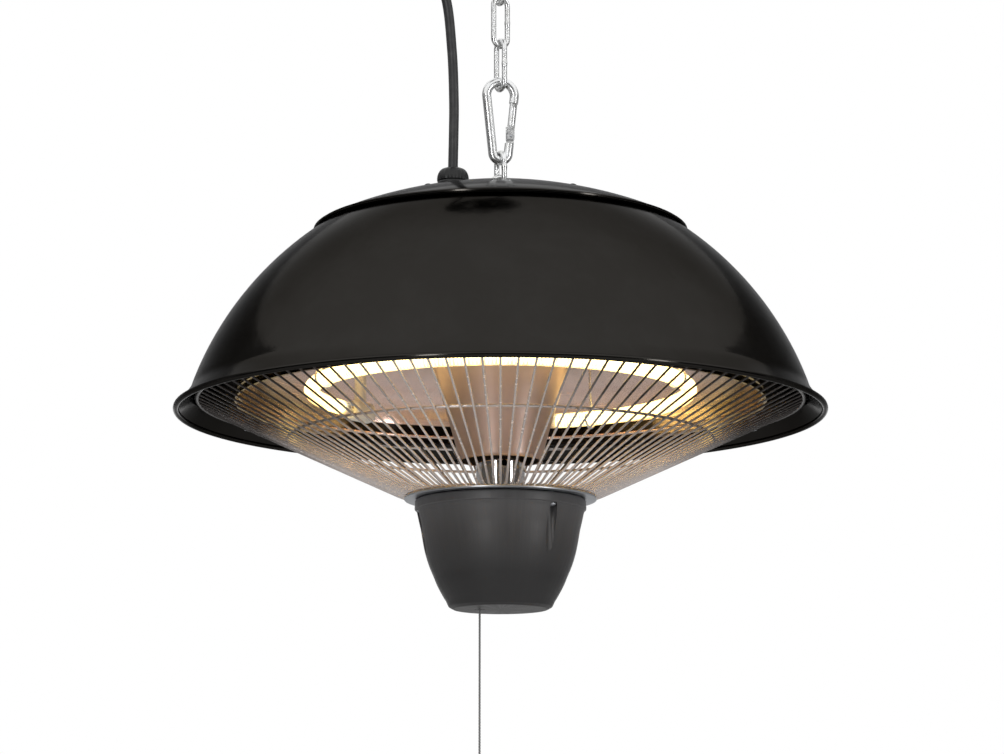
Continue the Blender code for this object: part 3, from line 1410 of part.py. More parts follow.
def build():
    """Make every piece and hang each body from the one above."""
    ceiling = pivot("ceiling_body", (0.0, 0.0, 0.0))
    ride(make_ceiling(), ceiling)
    links = make_chain()
    above = ceiling
    hang = -HOOK_DROP
    top_link = None
    for link, ends in zip(links, LINK_ENDS):
        body = pivot(link.name + "_body", (0.0, 0.0, hang), above)
        ride([link], body)
        top_link = top_link or body
        above = body
        hang = ends[1]
    snap_pieces, gate, gate_pivot = make_snap_hook()
    snap = pivot("snap_hook_body", (0.0, 0.0, hang), above)
    ride(snap_pieces, snap)
    ride([gate], pivot("snap_gate_body", gate_pivot, snap))
    hanger = pivot("hanger_link_body", (0.0, 0.0, SNAP_ENDS[1]), snap)
    ride([make_hanger_link()], hanger)
    heater = pivot("heater_body", (0.0, 0.0, HANGER_ENDS[1]), hanger)
    free, coil, tail = make_cable()
    ride(make_eye() + [make_dome(), free, make_guard(), make_bush()], heater)
    for pieces in (make_cap(), make_gland(), make_reflector(), make_lamp()):
        ride(pieces, heater)
    for pieces in (make_guard_fittings(), make_centre_tube(), make_cup()):
        ride(pieces, heater)
    ride([coil, tail, make_strap(), make_plug()], top_link)
    body, arm, arm_pivot = make_switch()
    ride([body], heater)
    ride([arm], pivot("switch_arm_body", arm_pivot, heater))
    cord, knob, cord_place = make_pull_cord()
    ride([cord, knob], pivot("pull_cord_body", cord_place, heater))
    print("rim height", round(RIM_Z, 5), "coil height", round(COIL_Z, 5))


build()
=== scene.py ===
# %% [markdown]
# # A hanging patio heater
# A round electric heater hangs from the ceiling by a short chain. Its enamelled dome covers a copper
# reflector with a ring lamp, a guard of thin wires keeps hands away, and a cup below holds the pull switch.
# A finished CAD frame gives every place and most sizes. This lesson dresses that frame: nearly every piece
# is made again, finer, in the place of its plain twin, and all get a finish built from shader nodes.
# The frame is loaded first, because every later piece is set by it.
# GAP is the 0.3 mm that most pieces keep from what they lie against.
# %% The frame
import math

import bmesh
import bpy
from mathutils import Matrix, Vector
from mathutils.geometry import convex_hull_2d


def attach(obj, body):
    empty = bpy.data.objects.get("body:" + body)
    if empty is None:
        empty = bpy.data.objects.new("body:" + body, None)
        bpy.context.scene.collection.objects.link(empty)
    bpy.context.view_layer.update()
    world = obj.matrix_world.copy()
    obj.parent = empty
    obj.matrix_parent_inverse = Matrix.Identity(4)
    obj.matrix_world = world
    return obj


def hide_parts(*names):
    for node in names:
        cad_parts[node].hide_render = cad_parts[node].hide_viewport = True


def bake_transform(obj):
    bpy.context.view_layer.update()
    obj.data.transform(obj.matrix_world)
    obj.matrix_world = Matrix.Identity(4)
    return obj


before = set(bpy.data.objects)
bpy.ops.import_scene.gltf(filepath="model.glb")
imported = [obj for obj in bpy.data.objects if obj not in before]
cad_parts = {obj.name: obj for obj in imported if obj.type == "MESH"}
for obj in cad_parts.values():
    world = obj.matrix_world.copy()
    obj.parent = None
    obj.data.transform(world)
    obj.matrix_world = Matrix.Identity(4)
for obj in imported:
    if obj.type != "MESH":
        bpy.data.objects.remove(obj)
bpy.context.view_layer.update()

RIM_Z, GAP = -0.4238, 0.0003


def over_rim(height):
    """World height of a place that is given over the rim, the dome's widest circle."""
    return RIM_Z + height


# %% [markdown]
# ## The camera
# The heater hangs over head height, so the camera stands below its rim and looks a little up, with a long
# lens from two metres. From there the near half of every ring shows above its far half. The camera is set
# before any piece is made.
# %% The camera
view = bpy.data.cameras.new("picture_view")
view.sensor_width = 36.0
view.lens = 111.6
view.shift_x = 0.0015
camera = bpy.data.objects.new("picture_view", view)
camera.location = (0.0, -2.0, over_rim(-0.334))
camera.rotation_euler = (math.radians(90 + 10.21), 0.0, 0.0)
bpy.context.scene.collection.objects.link(camera)
bpy.context.scene.camera = camera
print("camera at", tuple(round(value, 3) for value in camera.location))

# %% [markdown]
# ## Writing a finish
# A finish is a Principled shader with detail on its colour, roughness and bump. The detail comes from
# noise that is read at Object coordinates, so it keeps its true size in metres on every piece. Writing
# node links by hand is long, so a small class does it, and each finish is then a few plain lines.
# Values that are the same all over are set on the shader's own sockets.
# %% A helper for finishes


def add_node(tree, kind, inputs=None, **settings):
    """Add a node to a tree: a linked socket or a plain value for each input."""
    node = tree.nodes.new(kind)
    for name, value in settings.items():
        setattr(node, name, value)
    for name, value in (inputs or {}).items():
        if isinstance(value, bpy.types.NodeSocket):
            tree.links.new(value, node.inputs[name])
        else:
            node.inputs[name].default_value = value
    return node


class Finish:
    """One material, with short calls for the nodes that the finishes share."""

    def __init__(self, name, colour, roughness, metallic=0.0, **sockets):
        self.material = bpy.data.materials.new(name)
        self.material.use_nodes = True
        self.links = self.material.node_tree.links
        self.shader = self.material.node_tree.nodes["Principled BSDF"]
        self.place = self.node("TexCoord").outputs["Object"]
        self.set(Base_Color=(*colour, 1.0), Roughness=roughness, Metallic=metallic, **sockets)

    def set(self, **sockets):
        """Set the shader's own sockets. An underscore stands for a space."""
        for name, value in sockets.items():
            self.shader.inputs[name.replace("_", " ")].default_value = value

    def node(self, kind, inputs=None, **settings):
        """Add a shader node to the material."""
        return add_node(self.material.node_tree, "ShaderNode" + kind, inputs, **settings)

    def round_the_axis(self, turn=1.0, out=1.0, up=1.0):
        """The place as angle, radius and height about the Z axis, for marks left by turning."""
        parts = self.node("SeparateXYZ", {"Vector": self.place}).outputs
        angle = self.maths("ARCTAN2", parts["Y"], parts["X"])
        flat = self.node("CombineXYZ", {"X": parts["X"], "Y": parts["Y"]}).outputs["Vector"]
        radius = self.node("VectorMath", {0: flat}, operation="LENGTH").outputs["Value"]
        values = {
            "X": self.maths("MULTIPLY", angle, turn),
            "Y": self.maths("MULTIPLY", radius, out),
            "Z": self.maths("MULTIPLY", parts["Z"], up),
        }
        return self.node("CombineXYZ", values).outputs["Vector"]

    def maths(self, operation, first, second=0.0):
        """One step of arithmetic on a value."""
        return self.node("Math", {0: first, 1: second}, operation=operation).outputs["Value"]

    def noise(self, scale, detail=2.0, rough=0.5, place=None):
        """Soft noise from 0 to 1."""
        inputs = {"Vector": place or self.place, "Scale": scale, "Detail": detail, "Roughness": rough}
        return self.node("TexNoise", inputs).outputs["Fac"]

    def ranged(self, value, low, high, start=0.0, end=1.0):
        """A value from low to high, as the given one goes from start to end."""
        inputs = {"Value": value, "From Min": start, "From Max": end, "To Min": low, "To Max": high}
        return self.node("MapRange", inputs).outputs["Result"]

    def colour(self, value, first, second):
        """Paint the base between two colours, or over what feeds it already."""
        base = self.shader.inputs["Base Color"]
        under = base.links[0].from_socket if base.is_linked else (*first, 1.0)
        mix = self.node("Mix", {"Factor": value, 6: under, 7: (*second, 1.0)}, data_type="RGBA")
        self.links.new(mix.outputs[2], base)

    def roughness(self, value, low, high, start=0.3, end=0.7):
        """Let the roughness follow a value."""
        self.links.new(self.ranged(value, low, high, start, end), self.shader.inputs["Roughness"])

    def bump(self, height, distance, strength=1.0):
        """Raise the surface by a height of at most the distance, over the bumps set before."""
        inputs = {"Height": height, "Distance": distance, "Strength": strength}
        normal = self.shader.inputs["Normal"]
        if normal.is_linked:
            inputs["Normal"] = normal.links[0].from_socket
        self.links.new(self.node("Bump", inputs).outputs["Normal"], normal)


print("finishes are written with", len([word for word in dir(Finish) if word[0] != "_"]), "calls")

# %% [markdown]
# ## Rubber, plastic and cord
# The cable's jacket is matt black rubber with a faint sheen and a dusty bloom. The gland, the plug and
# the pull knob are moulded plastic with a fine grain from the mould and soft patches, some greyer and
# some smoother. The pull cord is a twisted grey cord, so its finish only adds the fuzz of its threads.
# %% Rubber, plastic and cord
RUBBER = Finish("cable_rubber", (0.024, 0.024, 0.025), 0.5, Sheen_Weight=0.05, Sheen_Roughness=0.5)
bloom = RUBBER.noise(180.0, 4.0, 0.6)
RUBBER.colour(RUBBER.ranged(bloom, 0.0, 1.0, 0.45, 0.8), (0.022, 0.022, 0.023), (0.045, 0.045, 0.045))
RUBBER.roughness(RUBBER.noise(60.0, 3.0), 0.36, 0.56)
RUBBER.bump(RUBBER.noise(2400.0, 2.0), 0.00004)

PLASTIC = Finish("black_plastic", (0.010, 0.010, 0.010), 0.36, Specular_IOR_Level=0.35)
grain = PLASTIC.noise(3200.0, 2.0, 0.6)
PLASTIC.colour(
    PLASTIC.ranged(PLASTIC.noise(90.0, 3.0), 0.0, 1.0, 0.4, 0.75), (0.009, 0.009, 0.0095),
    (0.020, 0.020, 0.020),
)
PLASTIC.roughness(PLASTIC.noise(240.0, 3.0), 0.28, 0.46)
PLASTIC.bump(grain, 0.00003)

CORD = Finish("pull_cord", (0.13, 0.13, 0.13), 0.75, Sheen_Weight=0.4, Sheen_Roughness=0.4)
fuzz = CORD.noise(5200.0, 3.0, 0.7)
CORD.colour(fuzz, (0.09, 0.09, 0.09), (0.24, 0.24, 0.235))
CORD.bump(fuzz, 0.00006)
print("finishes:", RUBBER.material.name, PLASTIC.material.name, CORD.material.name)

# %% [markdown]
# ## Wires that follow a line
# Chain links, hooks, guard wires, cords and clips are all one thing: a round section carried along a
# line. A Geometry Nodes tree does that for a line given as bare edges. It turns the edges into a curve,
# sweeps a circle along it and gives the result its finish. Mesh points keep an attribute called radius,
# which lets a wire swell at a weld or round off at its end. The tree's inputs are found by the
# identifier of their socket, since a name may be shared.
# %% The round wire tree


class Tree:
    """A Geometry Nodes tree with named inputs."""

    def __init__(self, name):
        self.tree = bpy.data.node_groups.new(name, "GeometryNodeTree")
        self.tree.interface.new_socket("Geometry", in_out="INPUT", socket_type="NodeSocketGeometry")
        self.tree.interface.new_socket("Geometry", in_out="OUTPUT", socket_type="NodeSocketGeometry")
        self.given = self.tree.nodes.new("NodeGroupInput")
        self.result = self.tree.nodes.new("NodeGroupOutput")

    def input(self, name, kind, value=None):
        """A named input of the tree, as the socket that the nodes read."""
        socket = self.tree.interface.new_socket(name, in_out="INPUT", socket_type="NodeSocket" + kind)
        if value is not None:
            socket.default_value = value
        return self.given.outputs[name]

    def node(self, kind, inputs=None, **settings):
        """Add a node to the tree."""
        return add_node(self.tree, kind, inputs, **settings)

    def maths(self, operation, *values):
        """One step of arithmetic on values."""
        return self.node("ShaderNodeMath", dict(enumerate(values)), operation=operation).outputs[0]

    def circle(self, diameter, sides):
        """A round section."""
        inputs = {"Resolution": sides, "Radius": self.maths("MULTIPLY", diameter, 0.5)}
        return self.node("GeometryNodeCurvePrimitiveCircle", inputs).outputs[0]

    def swept(self, curve, section, swell=None):
        """Carry a section along a curve and close its ends."""
        inputs = {"Curve": curve, "Profile Curve": section, "Fill Caps": True}
        if swell is not None:
            inputs["Scale"] = swell
        return self.node("GeometryNodeCurveToMesh", inputs).outputs[0]

    def finish(self, geometry, smooth=True):
        """End the tree: real meshes, smooth shading and the finish."""
        real = self.node("GeometryNodeRealizeInstances", {"Geometry": geometry}).outputs[0]
        if smooth:
            real = self.node("GeometryNodeSetShadeSmooth", {"Geometry": real}).outputs[0]
        material = self.input("Finish", "Material")
        painted = self.node("GeometryNodeSetMaterial", {"Geometry": real, "Material": material}).outputs[0]
        self.tree.links.new(painted, self.result.inputs["Geometry"])
        return self.tree


def in_scene(name, mesh):
    """Put a mesh in the scene, as an object at the origin."""
    obj = bpy.data.objects.new(name, mesh)
    bpy.context.scene.collection.objects.link(obj)
    return obj


def grown(name, tree, values, start=None):
    """Run a tree on a mesh, keep the result as a plain mesh at the origin, and drop the modifier."""
    obj = in_scene(name, start or bpy.data.meshes.new(name))
    modifier = obj.modifiers.new("grow", "NODES")
    modifier.node_group = tree
    for socket in tree.interface.items_tree:
        if socket.item_type == "SOCKET" and socket.in_out == "INPUT" and socket.name in values:
            modifier[socket.identifier] = values[socket.name]
    bpy.context.view_layer.update()
    graph = bpy.context.evaluated_depsgraph_get()
    mesh = bpy.data.meshes.new_from_object(obj.evaluated_get(graph), depsgraph=graph)
    obj.modifiers.remove(modifier)
    mesh.name = name
    obj.data = mesh
    return obj


def line_mesh(name, points, closed=False, radii=None):
    """A bare line of edges. The radii are shares of the wire's radius at each point."""
    mesh = bpy.data.meshes.new(name + "_line")
    edges = [(index, index + 1) for index in range(len(points) - 1)]
    if closed:
        edges.append((len(points) - 1, 0))
    mesh.from_pydata([tuple(point) for point in points], edges, [])
    attribute = mesh.attributes.new("radius", "FLOAT", "POINT")
    attribute.data.foreach_set("value", radii or [1.0] * len(points))
    return mesh


def round_wire_tree():
    """Sweep a circle along the given line."""
    tree = Tree("round_wire")
    diameter = tree.input("Diameter", "Float", 0.002)
    sides = tree.input("Sides", "Int", 12)
    curve = tree.node("GeometryNodeMeshToCurve", {"Mesh": tree.given.outputs["Geometry"]}).outputs[0]
    radius = tree.node("GeometryNodeInputNamedAttribute", {"Name": "radius"}, data_type="FLOAT").outputs[0]
    return tree.finish(tree.swept(curve, tree.circle(diameter, sides), radius))


ROUND_WIRE = round_wire_tree()


def outward(obj):
    """Turn the faces of a closed mesh outward, after near doubles are merged."""
    work = bmesh.new()
    work.from_mesh(obj.data)
    bmesh.ops.remove_doubles(work, verts=work.verts, dist=1e-7)
    bmesh.ops.recalc_face_normals(work, faces=work.faces)
    if work.calc_volume(signed=True) < 0:
        bmesh.ops.reverse_faces(work, faces=work.faces)
    work.to_mesh(obj.data)
    work.free()
    return obj


def round_ends(points, radius, start=True, end=True):
    """Add points that let a wire's ends close in a dome, with the radius share of each point."""
    points = [Vector(point) for point in points]
    shares = [1.0] * len(points)
    steps = ((0.45, 0.89), (0.8, 0.6), (0.97, 0.24))
    if end:
        along = (points[-1] - points[-2]).normalized() * radius
        tip = points[-1].copy()
        points[-1] = tip - along
        points += [tip - along * (1 - out) for out, _ in steps]
        shares += [share for _, share in steps]
    if start:
        along = (points[0] - points[1]).normalized() * radius
        tip = points[0].copy()
        points[0] = tip - along
        points = [tip - along * (1 - out) for out, _ in reversed(steps)] + points
        shares = [share for _, share in reversed(steps)] + shares
    return points, shares


def wire(name, points, diameter, finish, closed=False, sides=16, rounded=(False, False), radii=None):
    """One wire along the points."""
    if any(rounded):
        points, radii = round_ends(points, diameter / 2, *rounded)
    values = {"Diameter": diameter, "Sides": sides, "Finish": finish.material}
    obj = grown(name, ROUND_WIRE, values, line_mesh(name, points, closed, radii))
    outward(obj)
    obj.data.shade_smooth()
    obj.data.set_sharp_from_angle(angle=math.radians(50))
    return obj


print("tree:", ROUND_WIRE.name, "with", len(ROUND_WIRE.interface.items_tree), "sockets")

# %% [markdown]
# ## Smooth lines
# A few given points are easier to read than many. A Catmull-Rom curve through them gives the
# smooth line, and it is read at even steps, so that no part of a tube has long thin faces.
# %% Helpers for lines


def smooth_line(points, count):
    """Read a number of points, evenly, from a smooth curve through the given points."""
    knots = [Vector(point) for point in points]
    padded = [2 * knots[0] - knots[1]] + knots + [2 * knots[-1] - knots[-2]]
    dense = []
    for index in range(len(knots) - 1):
        before, start, end, after = padded[index:index + 4]
        for step in range(24):
            t = step / 24
            dense.append(0.5 * (
                2 * start + (end - before) * t
                + (2 * before - 5 * start + 4 * end - after) * t ** 2
                + (3 * start - before - 3 * end + after) * t ** 3
            ))
    dense.append(knots[-1])
    lengths = [0.0]
    for first, second in zip(dense, dense[1:]):
        lengths.append(lengths[-1] + (second - first).length)
    result = []
    cursor = 0
    for step in range(count):
        target = lengths[-1] * step / (count - 1)
        while cursor < len(lengths) - 2 and lengths[cursor + 1] < target:
            cursor += 1
        span = lengths[cursor + 1] - lengths[cursor]
        result.append(dense[cursor].lerp(dense[cursor + 1], (target - lengths[cursor]) / span))
    return result


def arc(centre, radius, start_deg, end_deg, count):
    """Points on a flat arc, both ends with it."""
    points = []
    for step in range(count):
        angle = math.radians(start_deg + (end_deg - start_deg) * step / (count - 1))
        points.append((centre[0] + radius * math.cos(angle), centre[1] + radius * math.sin(angle)))
    return points


def flat_line(points, count):
    """Read a number of flat points, evenly, from a smooth curve through flat points."""
    return [(point.x, point.y) for point in smooth_line([(*point, 0.0) for point in points], count)]


def upright(points, turn_deg):
    """Stand a flat line of (along, height) in a vertical plane turned about Z."""
    turn = math.radians(turn_deg)
    return [Vector((u * math.cos(turn), u * math.sin(turn), z)) for u, z in points]


def around(radius, angle_deg):
    """The point at a radius and an angle about the Z axis, as x and y."""
    angle = math.radians(angle_deg)
    return radius * math.cos(angle), radius * math.sin(angle)


def length_of(points):
    """Length of a line through points."""
    return sum((Vector(b) - Vector(a)).length for a, b in zip(points, points[1:]))


print("a quarter circle of 1 m measures", round(length_of(arc((0, 0), 1.0, 0, 90, 60)), 3), "m")

# %% [markdown]
# ## The power cable
# The cable is one length of 6.5 mm round flex, 1.76 m in all. It leaves the gland straight up, leans
# to the left and goes into a neat coil that is strapped to the top chain link, with the plug hanging in
# front of it. The free stretch, which bends when the heater swings, is its own piece and rides on no
# body. The coil and the lead to the plug are the second piece, and they ride on the top link. A bend
# can join only two neighbouring bodies.
# %% The power cable
CABLE_DIAMETER = 0.0065
COIL_X, COIL_Z = -0.025, -0.0637
COIL_INNER_RADIUS, COIL_PITCH, COIL_TURNS = 0.0275, 0.0071, 6.05
COIL_FRONT, COIL_LAYER_STEP = 0.0195, 0.0072
FREE_ROUTE = (
    (-0.0314, 0.0, 0.1663), (-0.0313, 0.0, 0.1730), (-0.0310, 0.0, 0.1900), (-0.0309, 0.0, 0.2130),
    (-0.0323, -0.0015, 0.2470), (-0.0365, -0.0050, 0.2820), (-0.0475, -0.0095, 0.3060),
    (-0.0620, -0.0150, 0.3270), (-0.0712, -0.0185, 0.3420),
)
LEAD_ROUTE = (
    (-0.0385, 0.0320, -0.0300), (-0.0212, 0.0402, -0.0365), (-0.0053, 0.0367, -0.0425),
    (0.0050, 0.0255, -0.0475), (0.0070, 0.0130, -0.0498),
)
PLUG_PLACE = (COIL_X + 0.007, -0.050, COIL_Z + 0.002)


def coil_line():
    """The coil spirals in, changes layer where it turns back, and spirals out again."""
    count = round(COIL_TURNS * 28)
    points = []
    for step in range(count + 1):
        turns = COIL_TURNS * step / count
        from_middle = turns - COIL_TURNS / 2
        radius = COIL_INNER_RADIUS + COIL_PITCH * abs(from_middle)
        climb = min(max(from_middle * 2 + 0.5, 0.0), 1.0)
        climb = climb * climb * (3 - 2 * climb)
        angle = math.pi - math.tau * turns
        y = -COIL_FRONT - COIL_LAYER_STEP * climb
        points.append(Vector((COIL_X + radius * math.cos(angle), y, COIL_Z + radius * math.sin(angle))))
    return points


loops = coil_line()
up = Vector((0.0, 0.0, CABLE_DIAMETER))
coil_start = loops[0] - up
free_line = smooth_line(
    [Vector((x, y, over_rim(h))) for x, y, h in FREE_ROUTE] + [coil_start - up, coil_start], 90,
)
last = (loops[-1] - loops[-2]).normalized() * CABLE_DIAMETER
lead = [Vector((COIL_X + x, y, COIL_Z + z)) for x, z, y in LEAD_ROUTE]
lead_line = smooth_line(
    [loops[-1] + last, loops[-1] + 2 * last] + lead + [Vector(PLUG_PLACE) + up, Vector(PLUG_PLACE)], 60,
)
wound_line = [coil_start] + loops + lead_line

free_cable = wire("power_cable_free", free_line, CABLE_DIAMETER, RUBBER, sides=20)
wound_cable = wire("power_cable_coil", wound_line, CABLE_DIAMETER, RUBBER, sides=14)
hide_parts("power_cable")
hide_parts("cable_coil", "plug_lead")
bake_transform(free_cable)
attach(wound_cable, "link_5")
print("power cable:", round(length_of(free_line) + length_of(wound_line), 3), "m")

# %% [markdown]
# ## Turned pieces
# The dome, the cap, the reflector, the cup and many small parts are round about an upright axis. Blender's
# Spin and Screw tools would make them, but a ring of points for each step of the outline is as short, and
# leaves a clean grid of four sided faces with one point at each pole. Outlines are written as (radius,
# height); a third number rounds that corner off. The sign of the volume tells if the faces point outward.
# %% Helpers for turned pieces


def rounded_off(points, steps=5):
    """Replace each corner that has a third number by an arc of that radius."""
    result = []
    count = len(points)
    for index, point in enumerate(points):
        here = Vector(point[:2])
        if len(point) < 3:
            result.append(tuple(here))
            continue
        before = Vector(points[index - 1][:2]) - here
        after = Vector(points[(index + 1) % count][:2]) - here
        half = before.angle(after) / 2
        reach = min(point[2] / math.tan(half), before.length * 0.48, after.length * 0.48)
        radius = reach * math.tan(half)
        middle = here + (before.normalized() + after.normalized()).normalized() * (radius / math.sin(half))
        first = here + before.normalized() * reach - middle
        second = here + after.normalized() * reach - middle
        turn = first.angle_signed(second)
        for step in range(steps + 1):
            spoke = first.copy()
            spoke.rotate(Matrix.Rotation(-turn * step / steps, 2))
            result.append(tuple(middle + spoke))
    return result


def offset_line(points, distance):
    """Shift a line of (radius, height) to its right by a distance, as seen going along it."""
    shifted = []
    for index, point in enumerate(points):
        here = Vector(point)
        sides = []
        if index > 0:
            sides.append((here - Vector(points[index - 1])).normalized())
        if index < len(points) - 1:
            sides.append((Vector(points[index + 1]) - here).normalized())
        normals = [Vector((side.y, -side.x)) for side in sides]
        mean = sum(normals, Vector((0.0, 0.0))).normalized()
        moved = here + mean * (distance / max(mean.dot(normals[0]), 0.3))
        shifted.append((max(moved.x, 0.0) if point[0] > 1e-9 else 0.0, moved.y))
    return shifted


def turned(name, outline, finish, x=0.0, y=0.0, z=None, steps=96, sharp=38):
    """Turn a closed outline about an upright axis at x and y. Its heights start from z, or from the rim."""
    lift = RIM_Z if z is None else z
    verts, rings = [], []
    for radius, height in outline:
        if radius < 1e-7:
            rings.append([len(verts)] * steps)
            verts.append((x, y, lift + height))
            continue
        rings.append(list(range(len(verts), len(verts) + steps)))
        for step in range(steps):
            angle = math.tau * step / steps
            verts.append((x + radius * math.cos(angle), y + radius * math.sin(angle), lift + height))
    faces = []
    for index, ring in enumerate(rings):
        after = rings[(index + 1) % len(rings)]
        for step in range(steps):
            nxt = (step + 1) % steps
            corners = [ring[step], ring[nxt], after[nxt], after[step]]
            corners = [corner for place, corner in enumerate(corners) if corner != corners[place - 1]]
            if len(corners) > 2:
                faces.append(corners)
    mesh = bpy.data.meshes.new(name)
    mesh.from_pydata(verts, [], faces)
    mesh.materials.append(finish.material)
    obj = outward(in_scene(name, mesh))
    mesh.shade_smooth()
    mesh.set_sharp_from_angle(angle=math.radians(sharp))
    return obj


def cut(obj, tools, sharp=38):
    """Cut tools out of a piece and remove them."""
    for tool in tools:
        modifier = obj.modifiers.new(tool.name, "BOOLEAN")
        modifier.solver = "EXACT"
        modifier.operation = "DIFFERENCE"
        modifier.object = tool
    bpy.context.view_layer.update()
    graph = bpy.context.evaluated_depsgraph_get()
    mesh = bpy.data.meshes.new_from_object(obj.evaluated_get(graph), depsgraph=graph)
    obj.modifiers.clear()
    obj.data = mesh
    mesh.shade_smooth()
    mesh.set_sharp_from_angle(angle=math.radians(sharp))
    for tool in tools:
        bpy.data.objects.remove(tool)
    return obj


def post(name, x, y, radius, low, high, finish, steps=32):
    """A plain upright cylinder, for cutting round holes."""
    outline = [(0.0, high), (radius, high), (radius, low), (0.0, low)]
    return turned(name, outline, finish, x, y, 0.0, steps)


def dress(obj, body, slot, *nodes):
    """Ride on a body and stand for CAD nodes, which are hidden. The slot is not used."""
    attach(obj, body)
    if nodes:
        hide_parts(*nodes)
    return obj


def joined(name, pieces):
    """Join pieces of one body into one mesh, keeping their finishes."""
    work = bmesh.new()
    materials = []
    for piece in pieces:
        start = len(work.faces)
        work.from_mesh(piece.data)
        work.faces.ensure_lookup_table()
        own = [materials.index(m) if m in materials else None for m in piece.data.materials]
        for index, material in enumerate(piece.data.materials):
            if own[index] is None:
                materials.append(material)
                own[index] = len(materials) - 1
        for face in work.faces[start:]:
            face.material_index = own[min(face.material_index, len(own) - 1)]
    mesh = bpy.data.meshes.new(name)
    work.to_mesh(mesh)
    work.free()
    for material in materials:
        mesh.materials.append(material)
    for piece in pieces:
        bpy.data.objects.remove(piece)
    return in_scene(name, mesh)


sample = rounded_off([(0.0, 1.0), (1.0, 1.0, 0.2), (1.0, 0.0), (0.0, 0.0)])
print("a corner rounded off in", len(sample) - 3, "points")

# %% [markdown]
# ## The mains plug
# The plug is a moulded round one with two pins. Its relief has ribs that let the cable bend; they are
# rings, so the outline simply goes in and out. Two flats on the sides would be felt more than seen, so
# they're left out. Body, pins and relief ride on one link, so they are joined into one mesh.
# %% The plug on the cable's end
PLUG_RADIUS, PLUG_LENGTH, RELIEF = 0.018, 0.034, 0.022
relief = [(0.0, 0.0), (0.0042, 0.0, 0.0008)]
for rib in range(6):
    top = -0.0015 - rib * 0.0032
    wide = 0.0050 + rib * 0.00022
    relief += [
        (wide, top, 0.0004), (wide, top - 0.0018, 0.0004), (wide - 0.0011, top - 0.0021),
        (wide - 0.0011, top - 0.0030),
    ]
plug_shares = (
    (0.55, 0.0), (0.70, 0.07), (0.78, 0.20), (0.82, 0.45), (0.90, 0.66), (0.99, 0.735), (1.0, 0.78),
    (1.0, 0.96),
)
relief += [(PLUG_RADIUS * out, -RELIEF - PLUG_LENGTH * down) for out, down in plug_shares]
relief += [(PLUG_RADIUS, -RELIEF - PLUG_LENGTH, 0.0014), (0.0, -RELIEF - PLUG_LENGTH)]
body = turned("plug_body", rounded_off(relief), PLASTIC, *PLUG_PLACE, steps=64)
METAL_PIN = Finish("pin_metal", (0.72, 0.70, 0.66), 0.22, 1.0)
METAL_PIN.roughness(METAL_PIN.noise(500.0, 3.0), 0.14, 0.34)
METAL_PIN.bump(METAL_PIN.noise(900.0, 2.0), 0.00002)
pins = []
for side in (-1, 1):
    face = PLUG_PLACE[2] - RELIEF - PLUG_LENGTH
    pin = [(0.0, 0.0005), (0.0024, 0.0005), (0.0024, -0.0185, 0.0016), (0.0, -0.0190)]
    place = (PLUG_PLACE[0] + side * 0.0095, PLUG_PLACE[1], face)
    pins.append(turned(f"plug_pin_{side}", rounded_off(pin), METAL_PIN, *place, steps=24))
    sleeve = [(0.0, 0.0004), (0.0033, 0.0004), (0.0031, -0.0012, 0.0004), (0.0, -0.0012)]
    pins.append(turned(f"pin_foot_{side}", rounded_off(sleeve), PLASTIC, *place, steps=24))
plug = joined("mains_plug_moulded", [body, *pins])
dress(plug, "link_5", "black_plastic", "mains_plug")
print("plug:", len(plug.data.polygons), "faces")

# %% [markdown]
# ## The pull cord and its knob
# The pull cord is three strands twisted together. A round tube would look like wire, so its section has
# three lobes, and the tree turns the section steadily along the cord with Set Curve Tilt. The knob that
# the cord ends in is turned plastic, wide enough to grip.
# %% The pull cord
CORD_X, CORD_DIAMETER, LOBE_DEPTH = -0.0134, 0.0015, 0.13
CUP_FLOOR_Z = -0.549744
CORD_TOP_Z = CUP_FLOOR_Z + 0.0283
KNOB_TOP_Z = CUP_FLOOR_Z - 0.109


def twisted_cord_tree():
    """Sweep a section of three lobes along the given line, turning as it goes."""
    tree = Tree("twisted_cord")
    diameter = tree.input("Diameter", "Float", 0.0015)
    pitch = tree.input("Length of one turn", "Float", 0.006)
    curve = tree.node("GeometryNodeMeshToCurve", {"Mesh": tree.given.outputs["Geometry"]}).outputs[0]
    along = tree.node("GeometryNodeSplineParameter").outputs["Length"]
    tilt = tree.maths("MULTIPLY", tree.maths("DIVIDE", along, pitch), math.tau)
    curve = tree.node("GeometryNodeSetCurveTilt", {"Curve": curve, "Tilt": tilt}).outputs[0]
    index = tree.node("GeometryNodeInputIndex").outputs[0]
    lobe = tree.maths("COSINE", tree.maths("MULTIPLY", index, math.tau / 6))
    share = tree.maths("MULTIPLY_ADD", lobe, LOBE_DEPTH, 1.0 - LOBE_DEPTH)
    place = tree.node("GeometryNodeInputPosition").outputs[0]
    pulled = tree.node("ShaderNodeVectorMath", {0: place, "Scale": share}, operation="SCALE").outputs[0]
    circle = tree.circle(diameter, 18)
    section = tree.node("GeometryNodeSetPosition", {"Geometry": circle, "Position": pulled}).outputs[0]
    return tree.finish(tree.swept(curve, section))


